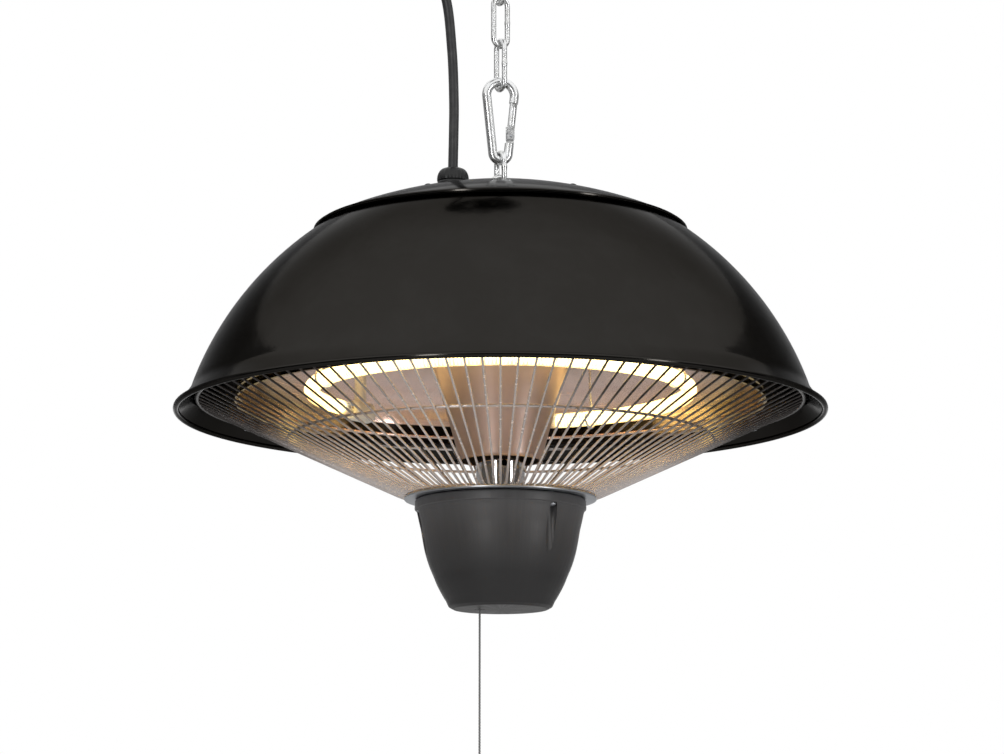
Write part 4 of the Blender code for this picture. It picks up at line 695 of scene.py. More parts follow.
cord_line = [
    Vector((CORD_X, 0.0, CORD_TOP_Z + (KNOB_TOP_Z - 0.0003 - CORD_TOP_Z) * step / 260))
    for step in range(261)
]
cord_values = {"Diameter": CORD_DIAMETER, "Length of one turn": 0.0055, "Finish": CORD.material}
pull_cord = outward(
    grown("pull_cord_twisted", twisted_cord_tree(), cord_values, line_mesh("pull_cord", cord_line))
)
pull_cord.data.shade_smooth()
knob_outline = [
    (0.0, 0.0), (0.0016, 0.0, 0.0004), (0.0027, -0.0012), (0.0031, -0.0040), (0.0033, -0.0068),
    (0.0041, -0.0105),
    (0.0056, -0.0145), (0.0073, -0.0190), (0.0085, -0.0236), (0.0090, -0.0272), (0.0086, -0.0305),
    (0.0070, -0.0325, 0.0012),
    (0.0030, -0.0330, 0.0010), (0.0, -0.0330),
]
knob = turned("pull_knob_turned", rounded_off(knob_outline), PLASTIC, CORD_X, 0.0, KNOB_TOP_Z, 48)
dress(knob, "pull_cord", "black_plastic", "pull_knob")
dress(pull_cord, "pull_cord", "grey_cord", "pull_cord")
print("pull cord:", round(length_of(cord_line) * 1000), "mm,", len(pull_cord.data.polygons), "faces")

# %% [markdown]
# ## The studio
# The heater hangs in an empty white studio. A pale floor lies below it and takes its shadow. The world
# is plain white to the camera and in gloss and glass, and a soft grey as a light, so the white backdrop
# puts no extra light on the object. Bright metal in an all white room looks like plaster, because it has
# nothing dark to mirror. So a dark curtain hangs in front and grey ones at the sides, which only glossy
# rays meet, and two tall strip lamps stand in front: each round bright piece then shows dark bands
# between bright stripes. Low down behind the heater the curtains leave the white backdrop open. The floor
# turns a darker grey in gloss, or each face that looks down would mirror white.
# %% Floor, world and lamps
PAPER = Finish("studio_floor", (0.86, 0.86, 0.85), 0.9)
PAPER.colour(PAPER.noise(1.5, 3.0), (0.84, 0.84, 0.83), (0.88, 0.88, 0.875))
PAPER.colour(PAPER.node("LightPath").outputs["Is Glossy Ray"], (0.0, 0.0, 0.0), (0.58, 0.58, 0.57))
floor_mesh = bpy.data.meshes.new("studio_floor")
FLOOR_Z, FLOOR_REACH = -1.45, 9
corners = [(FLOOR_REACH * x, FLOOR_REACH * y, FLOOR_Z) for x, y in ((-1, -1), (1, -1), (1, 1), (-1, 1))]
floor_mesh.from_pydata(corners, [], [(0, 1, 2, 3)])
floor_mesh.materials.append(PAPER.material)
in_scene("studio_floor", floor_mesh)

bpy.context.scene.view_settings.view_transform = "Standard"
world = bpy.data.worlds.new("studio")
world.use_nodes = True
bpy.context.scene.world = world
sky = world.node_tree
ray = add_node(sky, "ShaderNodeLightPath").outputs
seen = {0: ray["Is Camera Ray"], 1: ray["Is Glossy Ray"]}
seen = add_node(sky, "ShaderNodeMath", seen, operation="MAXIMUM").outputs[0]
seen = {0: seen, 1: ray["Is Transmission Ray"]}
seen = add_node(sky, "ShaderNodeMath", seen, operation="MAXIMUM").outputs[0]
grey_or_white = {"Factor": seen, 6: (0.55, 0.55, 0.56, 1.0), 7: (1.0, 1.0, 1.0, 1.0)}
shade = add_node(sky, "ShaderNodeMix", grey_or_white, data_type="RGBA").outputs[2]
sky.links.new(shade, sky.nodes["Background"].inputs["Color"])


def soft_lamp(name, place, target, width, height, power):
    """A soft box: a rectangular lamp that faces a point."""
    data = bpy.data.lights.new(name, "AREA")
    data.shape = "RECTANGLE"
    data.size, data.size_y, data.energy = width, height, power
    lamp = bpy.data.objects.new(name, data)
    lamp.location = place
    lamp.rotation_euler = (Vector(target) - Vector(place)).to_track_quat("-Z", "Y").to_euler()
    bpy.context.scene.collection.objects.link(lamp)
    lamp.visible_camera = False
    return lamp


MIDDLE = (0.0, 0.0, over_rim(0.05))
soft_lamp("strip_left", (-1.02, -2.40, -0.30), MIDDLE, 0.30, 1.5, 15.0)
soft_lamp("strip_right", (2.00, -1.50, -0.30), MIDDLE, 0.30, 1.5, 13.0)
soft_lamp("front_top", (0.1, -1.7, 0.9), MIDDLE, 1.2, 0.5, 9.0).visible_glossy = False

CURTAIN_RADIUS, CURTAIN_FOOT = 4.0, FLOOR_Z + 0.01


def curtain(name, grey, angles, low, high):
    """A curtain on an arc round the heater, which only glossy rays meet."""
    mesh = bpy.data.meshes.new(name)
    corners = [(*around(CURTAIN_RADIUS, angle), height) for angle in angles for height in (low, high)]
    faces = [(step, step + 2, step + 3, step + 1) for step in range(0, 2 * len(angles) - 2, 2)]
    mesh.from_pydata(corners, [], faces)
    cloth = Finish(name, (grey, grey, grey), 1.0)
    cloth.colour(cloth.noise(0.6, 2.0), (grey * 0.85,) * 3, (grey * 1.15,) * 3)
    mesh.materials.append(cloth.material)
    hung = in_scene(name, mesh)
    for kind in ("camera", "diffuse", "transmission", "volume_scatter", "shadow"):
        setattr(hung, f"visible_{kind}", False)


curtain("dark_curtain", 0.10, range(-190, 11, 5), CURTAIN_FOOT, 1.0)
curtain("grey_curtain_right", 0.42, range(10, 71, 5), CURTAIN_FOOT, 2.2)
curtain("grey_curtain_left", 0.42, range(110, 171, 5), CURTAIN_FOOT, 2.2)
curtain("grey_curtain_back", 0.42, range(70, 111, 5), 0.35, 2.2)
print("studio: a floor, a white world, 3 soft lamps and 4 curtains")

# %% [markdown]
# ## Bright metals
# The chain and hooks are zinc plated: bright, a little blue and yellow in patches, with fine pits. The
# centre tube is chrome, so nearly all of its look is what it mirrors, and only faint smears of roughness
# break it up. The guard's chrome is rougher, with a rosy tint that is a painted reflection of the copper.
# Its colour follows the radius and the distance from the middle: far out at the sides the wires are
# painted dark, a painted shade for the dark they mirror there. The plate under the guard is satin steel,
# brushed in circles; its marks come from noise that is drawn out along the angle and packed tight
# across it.
# %% Zinc, chrome and satin steel
ZINC = Finish("zinc_plate", (0.90, 0.91, 0.92), 0.2, 0.9)
patch = ZINC.noise(120.0, 4.0, 0.6)
ZINC.colour(ZINC.ranged(patch, 0.0, 1.0, 0.35, 0.7), (0.93, 0.94, 0.95), (0.80, 0.80, 0.78))
ZINC.roughness(ZINC.noise(420.0, 4.0, 0.65), 0.12, 0.34)
ZINC.bump(ZINC.noise(1500.0, 3.0, 0.6), 0.00004)
ZINC.bump(ZINC.noise(260.0, 2.0), 0.00007)

CHROME = Finish("chrome", (0.80, 0.80, 0.81), 0.06, 1.0)
CHROME.roughness(CHROME.noise(150.0, 3.0), 0.03, 0.11)
CHROME.bump(CHROME.noise(500.0, 2.0), 0.000012)

# The rosy base colour is a painted reflection of the copper dish.
GUARD_CHROME = Finish("guard_chrome", (0.80, 0.74, 0.70), 0.2, 0.6)
GUARD_CHROME.colour(GUARD_CHROME.noise(60.0, 3.0), (0.78, 0.71, 0.68), (0.60, 0.53, 0.49))
# Painted shade: far out at the sides the wires are darkened, for the dark they mirror there.
out = GUARD_CHROME.node("SeparateXYZ", {"Vector": GUARD_CHROME.round_the_axis()}).outputs["Y"]
side_shade_reach = GUARD_CHROME.node("SeparateXYZ", {"Vector": GUARD_CHROME.place}).outputs["X"]
side_shade_reach = GUARD_CHROME.maths("ABSOLUTE", GUARD_CHROME.maths("ADD", side_shade_reach, 0.020))
side_shade_reach = GUARD_CHROME.ranged(side_shade_reach, 0.0, 1.0, 0.035, 0.085)
painted_dark_sides = GUARD_CHROME.maths("MULTIPLY", GUARD_CHROME.ranged(out, 0.0, 1.0, 0.100, 0.158), side_shade_reach)
GUARD_CHROME.colour(painted_dark_sides, (0.0, 0.0, 0.0), (0.050, 0.043, 0.040))
GUARD_CHROME.roughness(GUARD_CHROME.noise(300.0, 3.0), 0.14, 0.30)
GUARD_CHROME.bump(GUARD_CHROME.noise(1800.0, 2.0), 0.00002)

STEEL = Finish("satin_steel", (0.50, 0.52, 0.55), 0.32, 1.0)
rings = STEEL.noise(1.0, 3.0, 0.7, STEEL.round_the_axis(4.0, 3500.0, 900.0))
STEEL.colour(rings, (0.42, 0.44, 0.47), (0.60, 0.62, 0.65))
STEEL.roughness(rings, 0.24, 0.42)
STEEL.bump(rings, 0.00002)
print("finishes:", ", ".join(finish.material.name for finish in (ZINC, CHROME, GUARD_CHROME, STEEL)))

# %% [markdown]
# ## Enamel and moulded plastic
# The dome and cap are sprayed with gloss black enamel and baked. Real sprayed gloss isn't flat: it has an
# orange peel, a shallow waviness a few millimetres long that softens the edges of reflections. Fine dust
# dulls it here and there. A plain black gloss would mirror the white room too brightly where the dome
# turns away, so the enamel is written as a very dark metal, and its tint at the edge is held down. The cup
# is dark grey plastic from a mould, with a satin grain and soft upright flow marks, and a painted shade
# makes it darker to its foot.
# The lamp's ends are white ceramic with small stains.
# %% Enamel and cup plastic
ENAMEL = Finish("black_enamel", (0.030, 0.028, 0.026), 0.14, 1.0, Specular_Tint=(0.46, 0.46, 0.46, 1.0))
dust = ENAMEL.noise(26.0, 5.0, 0.65)
ENAMEL.colour(ENAMEL.ranged(dust, 0.0, 1.0, 0.42, 0.78), (0.031, 0.029, 0.0265), (0.036, 0.034, 0.0315))
ENAMEL.roughness(ENAMEL.noise(90.0, 4.0, 0.6), 0.09, 0.18)
ENAMEL.bump(ENAMEL.noise(210.0, 2.0, 0.4), 0.00003)
ENAMEL.bump(ENAMEL.noise(28.0, 1.0), 0.00008)

CUP_PLASTIC = Finish("charcoal_plastic", (0.036, 0.035, 0.035), 0.36, Specular_IOR_Level=0.4)
flow = CUP_PLASTIC.noise(1.0, 3.0, 0.6, CUP_PLASTIC.round_the_axis(9.0, 0.0, 14.0))
CUP_PLASTIC.colour(flow, (0.056, 0.0545, 0.055), (0.080, 0.0775, 0.078))
# Painted shade: the cup turns darker towards its foot.
cup_shade_height = CUP_PLASTIC.node("SeparateXYZ", {"Vector": CUP_PLASTIC.place}).outputs["Z"]
CUP_PLASTIC.colour(
    CUP_PLASTIC.ranged(cup_shade_height, 0.82, 0.0, over_rim(-0.106), over_rim(-0.066)), (0.0, 0.0, 0.0),
    (0.011, 0.0105, 0.0105),
)
CUP_PLASTIC.roughness(flow, 0.33, 0.46)
CUP_PLASTIC.bump(CUP_PLASTIC.noise(2600.0, 2.0), 0.00003)
CUP_PLASTIC.bump(CUP_PLASTIC.noise(1.0, 2.0, 0.5, CUP_PLASTIC.round_the_axis(30.0, 0.0, 8.0)), 0.00006)

CERAMIC = Finish("white_ceramic", (0.80, 0.78, 0.72), 0.6)
CERAMIC.colour(
    CERAMIC.ranged(CERAMIC.noise(700.0, 4.0), 0.0, 1.0, 0.55, 0.75), (0.80, 0.78, 0.72), (0.62, 0.57, 0.48),
)
CERAMIC.roughness(CERAMIC.noise(300.0, 3.0), 0.5, 0.72)
CERAMIC.bump(CERAMIC.noise(1600.0, 3.0), 0.00005)
print("finishes:", ENAMEL.material.name, CUP_PLASTIC.material.name, CERAMIC.material.name)

# %% [markdown]
# ## The copper reflector
# Dish and cone are thin sheet with a bright copper coloured coat, spun over a form. Spinning leaves
# faint rings, which draw the lamp's reflection out into soft bands. Near the lamp the coat has tarnished
# in heat, a little browner and duller. Both come from the radius: rings from noise packed along it, and
# the heat tint from how near the radius is to the lamp's. Above and below the hem's bead a painted shade
# makes a black band, so the bead shows as a thin bright line; height and radius pick that band out, and
# it fades at the left and right. There the foot of the dish is more golden, a painted reflection of the
# lamp's glow. The cone has the same coat, but darker and satin.
# %% The copper finish
COPPER = Finish("copper_mirror", (0.62, 0.45, 0.39), 0.2, 1.0)
polar = COPPER.round_the_axis(1.2, 1.0, 1.0)
spun = COPPER.noise(1.0, 4.0, 0.6, COPPER.round_the_axis(1.5, 900.0, 900.0))
cloud = COPPER.noise(16.0, 4.0, 0.6)
parts = COPPER.node("SeparateXYZ", {"Vector": polar}).outputs
near = COPPER.maths("ABSOLUTE", COPPER.maths("SUBTRACT", parts["Y"], 0.123))
heat = COPPER.ranged(near, 0.6, 0.0, 0.0, 0.034)
# Painted shade: a black band above and below the hem's bead, fading at the left and right.
above = COPPER.maths("ABSOLUTE", COPPER.maths("SUBTRACT", parts["Z"], over_rim(0.0172)))
band = COPPER.ranged(above, 1.0, 0.0, 0.0031, 0.0037)
skirt = COPPER.maths("LESS_THAN", parts["Z"], over_rim(0.0118))
wide = COPPER.maths("ABSOLUTE", COPPER.node("SeparateXYZ", {"Vector": COPPER.place}).outputs["X"])
hem_shade_sides = COPPER.maths(
    "MULTIPLY", COPPER.maths("GREATER_THAN", parts["Y"], 0.160),
    COPPER.ranged(wide, 1.0, 0.0, 0.105, 0.140),
)
painted_hem_shade = COPPER.maths("MULTIPLY", hem_shade_sides, COPPER.maths("MAXIMUM", band, skirt))
COPPER.colour(COPPER.ranged(cloud, 0.0, 1.0, 0.3, 0.7), (1.0, 0.80, 0.73), (0.92, 0.71, 0.63))
COPPER.colour(heat, (0.6, 0.4, 0.3), (0.90, 0.68, 0.46))
# Painted reflection: the foot of the dish at the left and right is made golden, for the lamp's glow.
painted_lamp_reflection = COPPER.maths(
    "MULTIPLY", COPPER.ranged(wide, 0.0, 1.0, 0.100, 0.150),
    COPPER.ranged(parts["Z"], 1.0, 0.0, over_rim(0.022), over_rim(0.046)),
)
COPPER.colour(painted_lamp_reflection, (0.6, 0.4, 0.3), (0.99, 0.74, 0.34))
COPPER.colour(painted_hem_shade, (0.0, 0.0, 0.0), (0.014, 0.011, 0.010))
COPPER.roughness(
    COPPER.maths("ADD", COPPER.maths("MULTIPLY", spun, 0.6), COPPER.maths("MULTIPLY", cloud, 0.4)), 0.12,
    0.32,
)
COPPER.bump(spun, 0.00003)
COPPER.bump(COPPER.noise(38.0, 2.0), 0.0002)

SATIN_COPPER = Finish("copper_satin", (0.92, 0.70, 0.62), 0.36, 1.0)
veil = SATIN_COPPER.noise(22.0, 4.0, 0.6)
SATIN_COPPER.colour(SATIN_COPPER.ranged(veil, 0.0, 1.0, 0.3, 0.7), (0.58, 0.45, 0.41), (0.48, 0.36, 0.31))
SATIN_COPPER.roughness(veil, 0.34, 0.50)
SATIN_COPPER.bump(
    SATIN_COPPER.noise(1.0, 3.0, 0.6, SATIN_COPPER.round_the_axis(1.5, 900.0, 900.0)), 0.00003,
)
print("finishes:", COPPER.material.name, SATIN_COPPER.material.name)

# %% [markdown]
# ## The chain
# Each link is bent from 3.5 mm wire and butt welded in the middle of one leg, where the weld stands
# slightly proud. The same tree as for any wire makes it; the weld is only a larger radius at a few
# points. Neighbouring links hang at right angles, each on its own body, so each one is its own mesh.
# %% Chain links
LINK_WIRE, LINK_WIDTH = 0.0035, 0.014
LINK_ARC = (LINK_WIDTH - LINK_WIRE) / 2
LINK_ENDS = [(-0.05145 - 0.0297 * step, -0.08495 - 0.0297 * step) for step in range(5)]


def link_line(ends, steps=13):
    """A link's closed line, and the weld's swelling on the middle of one leg."""
    top, bottom = ends[0] - LINK_ARC, ends[1] + LINK_ARC
    line = arc((0.0, top), LINK_ARC, 0, 180, steps)
    legs = 12
    for step in range(1, legs):
        line.append((-LINK_ARC, top + (bottom - top) * step / legs))
    line += arc((0.0, bottom), LINK_ARC, 180, 360, steps)
    for step in range(1, legs):
        line.append((LINK_ARC, bottom + (top - bottom) * step / legs))
    middle = (top + bottom) / 2
    radii = []
    for u, z in line:
        near_weld = max(0.0, 1.0 - abs(z - middle) / 0.0022) if u > LINK_ARC * 0.99 else 0.0
        radii.append(1.0 + 0.13 * near_weld)
    return line, radii


for index, ends in enumerate(LINK_ENDS):
    line, radii = link_line(ends)
    turn = -60 + 90 * (index % 2)
    link = wire(f"link_{5 - index}_welded", upright(line, turn), LINK_WIRE, ZINC, closed=True, radii=radii)
    dress(link, f"link_{5 - index}", "zinc", f"chain_link_{5 - index}")
line, radii = link_line((-0.24705, -0.26815))
hanger = wire("hanger_link_welded", upright(line, -62), LINK_WIRE, ZINC, closed=True, radii=radii)
dress(hanger, "hanger_link", "zinc", "hanger_link")
print("links:", len(LINK_ENDS), "and the hanger link,", len(hanger.data.polygons), "faces each")

# %% [markdown]
# ## The snap hook
# A snap hook is one bent wire with a gate. The wire's lower end is pressed flat into a tongue, the gate's
# two cheeks straddle it on a rivet, and a nose on the upper end sits in a slot in the gate. The gate is
# its own body and swings inward on the rivet.
# %% Snap hook, gate and rivet
SNAP_WIRE, GATE_WIRE, SNAP_TURN = 0.006, 0.005, 12
SNAP_TOP, SNAP_BOTTOM = -0.1984, -0.2524
TOP_ARC, BOTTOM_ARC = 0.0094, 0.00525
TOP_Z, BOTTOM_Z = SNAP_TOP - TOP_ARC, SNAP_BOTTOM + BOTTOM_ARC
NOSE_Z, PIVOT_Z = SNAP_BOTTOM + 0.0395, SNAP_BOTTOM + 0.0165


def gate_x(height):
    """How far out the gate's middle line lies at a height."""
    return BOTTOM_ARC + (TOP_ARC - BOTTOM_ARC) * (height - BOTTOM_Z) / (TOP_Z - BOTTOM_Z)


def snap_block(name, low, high, finish, edge=0.0004):
    """A small block with rounded edges, given in the snap hook's own plane."""
    work = bmesh.new()
    bmesh.ops.create_cube(work, size=1.0)
    low, high = Vector(low), Vector(high)
    bmesh.ops.transform(
        work, matrix=Matrix.Translation((low + high) / 2) @ Matrix.Diagonal((*(high - low), 1.0)),
        verts=work.verts,
    )
    bmesh.ops.bevel(work, geom=work.edges[:], offset=edge, segments=2, affect="EDGES")
    bmesh.ops.transform(work, matrix=Matrix.Rotation(math.radians(SNAP_TURN), 4, "Z"), verts=work.verts)
    mesh = bpy.data.meshes.new(name)
    work.to_mesh(mesh)
    work.free()
    mesh.materials.append(finish.material)
    return in_scene(name, mesh)


def crossing(name, u, z, reach, radius, finish):
    """A short round pin across the snap hook's plane, with domed ends."""
    turn = math.radians(SNAP_TURN)
    middle = Vector((u * math.cos(turn), u * math.sin(turn), z))
    across = Vector((-math.sin(turn), math.cos(turn), 0.0)) * reach
    return wire(name, [middle - across, middle, middle + across], 2 * radius, finish, rounded=(True, True))


tongue_foot = PIVOT_Z - 0.0046
frame_line = [(gate_x(tongue_foot), tongue_foot), (gate_x(tongue_foot - 0.002), tongue_foot - 0.002)]
frame_line += arc((0.0, BOTTOM_Z), BOTTOM_ARC, 0, -180, 25)
for step in range(1, 10):
    share = step / 10
    frame_line.append((-BOTTOM_ARC + (BOTTOM_ARC - TOP_ARC) * share, BOTTOM_Z + (TOP_Z - BOTTOM_Z) * share))
frame_line += arc((0.0, TOP_Z), TOP_ARC, 180, 0, 35)
frame_line += [(gate_x(NOSE_Z + 0.002), NOSE_Z + 0.002), (gate_x(NOSE_Z), NOSE_Z)]
bent = wire("snap_bent_wire", upright(frame_line, SNAP_TURN), SNAP_WIRE, ZINC, sides=24)
pivot_u = gate_x(PIVOT_Z)
tongue = snap_block(
    "snap_tongue", (pivot_u - 0.0023, -0.0015, tongue_foot - 0.002),
    (pivot_u + 0.0023, 0.0015, PIVOT_Z + 0.0023), ZINC,
)
nose_u = gate_x(NOSE_Z)
nose = snap_block(
    "snap_nose", (nose_u - 0.0009, -0.0012, NOSE_Z - 0.0026), (nose_u + 0.0009, 0.0012, NOSE_Z + 0.002),
    ZINC, 0.0003,
)
dress(joined("snap_hook_bent", [bent, tongue, nose]), "snap_hook", "zinc", "snap_hook_frame")
rivet = crossing("gate_rivet_domed", pivot_u, PIVOT_Z, 0.0033, 0.0011, STEEL)
dress(rivet, "snap_hook", "satin_steel", "gate_rivet")

foot_z, head_z = PIVOT_Z + 0.0029, NOSE_Z - 0.0003
gate_line = [
    (gate_x(foot_z + (head_z - foot_z) * step / 8), foot_z + (head_z - foot_z) * step / 8)
    for step in range(9)
]
gate = wire("gate_bar", upright(gate_line, SNAP_TURN), GATE_WIRE, ZINC, sides=24)
slot = snap_block(
    "gate_slot", (nose_u - 0.0013, -0.004, NOSE_Z - 0.0031), (nose_u + 0.0013, 0.004, NOSE_Z + 0.002), ZINC,
    0.0002,
)
gate = cut(gate, [slot])
cheeks = []
for side in (-1, 1):
    near, far = side * 0.0018, side * 0.0029
    low = (pivot_u - 0.0023, min(near, far), PIVOT_Z - 0.0023)
    high = (pivot_u + 0.0025, max(near, far), foot_z + 0.0046)
    cheeks.append(snap_block(f"gate_cheek_{side}", low, high, ZINC, 0.0003))
dress(joined("snap_gate_barred", [gate, *cheeks]), "snap_gate", "zinc", "snap_gate")
print("snap hook: gate swings about", tuple(round(v, 4) for v in (pivot_u, 0.0, PIVOT_Z)))

# %% [markdown]
# ## Ceiling plate and hook
# The chain hangs from an open hook under a round plate with two pan head screws. A screw head is a
# turned dome with a cross cut in it, and the cutter is two crossed blocks. A tree places copies of one
# screw on a set of points. The cup's three screws are made by the same call later, in a smaller size.
# %% Screws, ceiling plate and hook


def screw_head(name, radius, height):
    """A pan head that hangs down from z 0, with a cross recess."""
    outline = [
        (0.0, 0.0), (radius, 0.0, radius * 0.15), (radius, -height * 0.55, radius * 0.5),
        (radius * 0.45, -height, radius * 0.3), (0.0, -height),
    ]
    head = turned(name, rounded_off(outline), STEEL, z=0.0, steps=40)
    blades = []
    for turn in (0, 90):
        work = bmesh.new()
        bmesh.ops.create_cube(work, size=1.0)
        size = Matrix.Diagonal((radius * 1.15, radius * 0.24, height, 1.0))
        spot = Matrix.Translation((0.0, 0.0, -height)) @ Matrix.Rotation(math.radians(turn), 4, "Z")
        bmesh.ops.transform(work, matrix=spot @ size, verts=work.verts)
        mesh = bpy.data.meshes.new(f"{name}_blade_{turn}")
        work.to_mesh(mesh)
        work.free()
        blades.append(in_scene(mesh.name, mesh))
    return cut(head, blades)


def placed_tree():
    """Put a copy of the given piece on each point, turned a little more on each."""
    tree = Tree("placed_copies")
    piece = tree.input("Piece", "Object")
    turn = tree.input("Turn of each", "Float", 0.7)
    points = tree.node("GeometryNodeMeshToPoints", {"Mesh": tree.given.outputs["Geometry"]}).outputs[0]
    copy = tree.node("GeometryNodeObjectInfo", {"Object": piece, "As Instance": True}).outputs["Geometry"]
    index = tree.node("GeometryNodeInputIndex").outputs[0]
    about = tree.node("ShaderNodeCombineXYZ", {"Z": tree.maths("MULTIPLY", index, turn)}).outputs[0]
    copies = tree.node(
        "GeometryNodeInstanceOnPoints", {"Points": points, "Instance": copy, "Rotation": about},
    ).outputs[0]
    return tree.finish(copies, smooth=False)


PLACED = placed_tree()


def screws_at(name, points, radius, height, shank, length, finish):
    """Pan head screws at points, heads down, each with its shank above."""
    head = screw_head(name + "_head", radius, height)
    rod = turned(
        name + "_rod",
        rounded_off(
            [(0.0, length), (shank, length, shank * 0.4), (shank, -height * 0.2), (0.0, -height * 0.2)]
        ),
        STEEL, z=0.0, steps=24,
    )
    piece = joined(name + "_piece", [head, rod])
    start = bpy.data.meshes.new(name + "_points")
    start.from_pydata([tuple(point) for point in points], [], [])
    made = grown(name, PLACED, {"Piece": piece, "Finish": finish.material}, start)
    bpy.data.objects.remove(piece)
    made.data.set_sharp_from_angle(angle=math.radians(38))
    return made


PLATE_RADIUS, PLATE_FACE, PLATE_SCREW_X = 0.030, -0.0040, 0.020
plate_outline = [(0.0, 0.0), (PLATE_RADIUS, 0.0, 0.0003), (PLATE_RADIUS, -0.0030, 0.0009)]
plate_outline += [(0.0272, PLATE_FACE, 0.0009), (0.0, PLATE_FACE)]
plate = turned("ceiling_plate_pressed", rounded_off(plate_outline), ZINC, z=0.0, steps=96)
plate_holes = []
for side in (-1, 1):
    plate_holes.append(post(f"plate_hole_{side}", side * PLATE_SCREW_X, 0.0, 0.0023, -0.009, 0.004, ZINC))
plate = cut(plate, plate_holes)
dress(plate, "ceiling", "zinc", "ceiling_plate")
screw_spots = [(side * PLATE_SCREW_X, 0.0, PLATE_FACE - GAP) for side in (-1, 1)]
ceiling_screws = screws_at("ceiling_screws", screw_spots, 0.004, 0.0021, 0.002, 0.004, STEEL)
dress(ceiling_screws, "ceiling", "zinc", "ceiling_screw_left", "ceiling_screw_right")
BOWL, BOWL_Z = 0.009, -0.047
hook_top = PLATE_FACE - GAP
neck = (hook_top + BOWL_Z) / 2
entry = [
    (0.0, hook_top), (0.0, (neck + PLATE_FACE) / 2), (-BOWL / 12, neck), (-BOWL / 1.6, (neck + BOWL_Z) / 2),
]
hook_line = flat_line([*entry, (-BOWL, BOWL_Z)], 30)
hook_line += arc((0.0, BOWL_Z), BOWL, 180, 385, 44)[1:]
hook = wire("ceiling_hook_bent", upright(hook_line, 30), 0.005, ZINC, rounded=(False, True), sides=24)
dress(hook, "ceiling", "zinc", "ceiling_hook")
print("ceiling side:", len(plate.data.polygons) + len(hook.data.polygons), "faces")

# %% [markdown]
# ## The strap on the coil
# A woven strap holds the coil's right side to the top chain link. It is pulled tight, so seen from above
# it is the line that a rubber band would take round the cable's turns and the link: the convex hull of
# circles. The band is swept along that line, and its free end lies pressed down over the start.
# %% The coil strap
STRAP = Finish("woven_strap", (0.016, 0.016, 0.017), 0.7, Sheen_Weight=0.3, Sheen_Roughness=0.5)
weave = STRAP.node(
    "TexWave", {"Vector": STRAP.place, "Scale": 210.0, "Distortion": 0.6}, bands_direction="Z",
).outputs["Fac"]
STRAP.colour(weave, (0.012, 0.012, 0.013), (0.034, 0.034, 0.036))
STRAP.bump(weave, 0.00012)
STRAP.bump(STRAP.noise(1900.0, 2.0), 0.00006)


def strap_line():
    """The tight line round the coil's turns and the link, as x and y."""
    outer = COIL_INNER_RADIUS + COIL_PITCH * COIL_TURNS / 2
    circles = [
        (COIL_X + along, y, CABLE_DIAMETER / 2)
        for along in (COIL_INNER_RADIUS, outer) for y in (-COIL_FRONT, -COIL_FRONT - COIL_LAYER_STEP)
    ]
    circles += [(*around(side * LINK_ARC, -60), LINK_WIRE / 2) for side in (-1, 1)]
    cloud = []
    for x, y, radius in circles:
        for step in range(36):
            u, v = around(radius + 0.0013, step * 10)
            cloud.append(Vector((x + u, y + v)))
    return [cloud[index] for index in convex_hull_2d(cloud)]


def band(name, line, low, high, thickness, finish, closed=True):
    """A flat band with rounded edges that stands on a line of x and y."""
    count = len(line)
    work = bmesh.new()
    section = [(-1, -0.86), (-0.5, -1), (0.5, -1), (1, -0.86), (1, 0.86), (0.5, 1), (-0.5, 1), (-1, 0.86)]
    rings = []
    for index, point in enumerate(line):
        before = line[index - 1] if closed or index else line[0]
        after = line[(index + 1) % count] if closed or index < count - 1 else line[-1]
        along = (after - before).normalized()
        out = Vector((along.y, -along.x))
        ring = []
        for across, up in section:
            spot = point + out * across * thickness / 2
            ring.append(work.verts.new((spot.x, spot.y, (low + high) / 2 + up * (high - low) / 2)))
        rings.append(ring)
    for index in range(count if closed else count - 1):
        one, two = rings[index], rings[(index + 1) % count]
        for side in range(8):
            nxt = (side + 1) % 8
            work.faces.new((one[side], one[nxt], two[nxt], two[side]))
    if not closed:
        work.faces.new(rings[0])
        work.faces.new(rings[-1])
    mesh = bpy.data.meshes.new(name)
    work.to_mesh(mesh)
    work.free()
    mesh.materials.append(finish.material)
    obj = outward(in_scene(name, mesh))
    mesh.shade_smooth()
    mesh.set_sharp_from_angle(angle=math.radians(50))
    return obj


hull = [Vector(point) for point in flat_line(strap_line(), 90)]
strap = band("strap_loop", hull, COIL_Z - 0.005, COIL_Z + 0.005, 0.001, STRAP)
middle = sum(hull, Vector((0.0, 0.0))) / len(hull)
tail_line = [point + (point - middle).normalized() * 0.0011 for point in hull[:26]]
tail = band("strap_tail", tail_line, COIL_Z - 0.0047, COIL_Z + 0.0047, 0.001, STRAP, closed=False)
dress(joined("coil_strap_woven", [strap, tail]), "link_5", "black_plastic", "coil_strap")
print("strap:", round(length_of(hull) * 1000), "mm round")

# %% [markdown]
# ## The hanger eye
# The heater hangs by a U shaped wire that stands out of the cap. Its legs go through cap and dome, and a
# hex nut on each holds it from below. The U is one wire again. A hex nut is a turned piece with its
# corners sloped, cut by six upright planes, as a real one is cut from a bar.
# %% Hanger eye and its nuts
EYE_LEG = (0.019 - 0.004) / 2
EYE_TOP_Z = -0.2638
eye_line = [(EYE_LEG, over_rim(0.112)), (EYE_LEG, over_rim(0.135))]
eye_line += arc((0.0, EYE_TOP_Z - EYE_LEG), EYE_LEG, 0, 180, 33)
eye_line += [(-EYE_LEG, over_rim(0.135)), (-EYE_LEG, over_rim(0.112))]
eye = wire("hanger_eye_bent", upright(eye_line, 0), 0.004, ZINC, sides=24, rounded=(True, True))
dress(eye, "heater", "zinc", "hanger_eye")


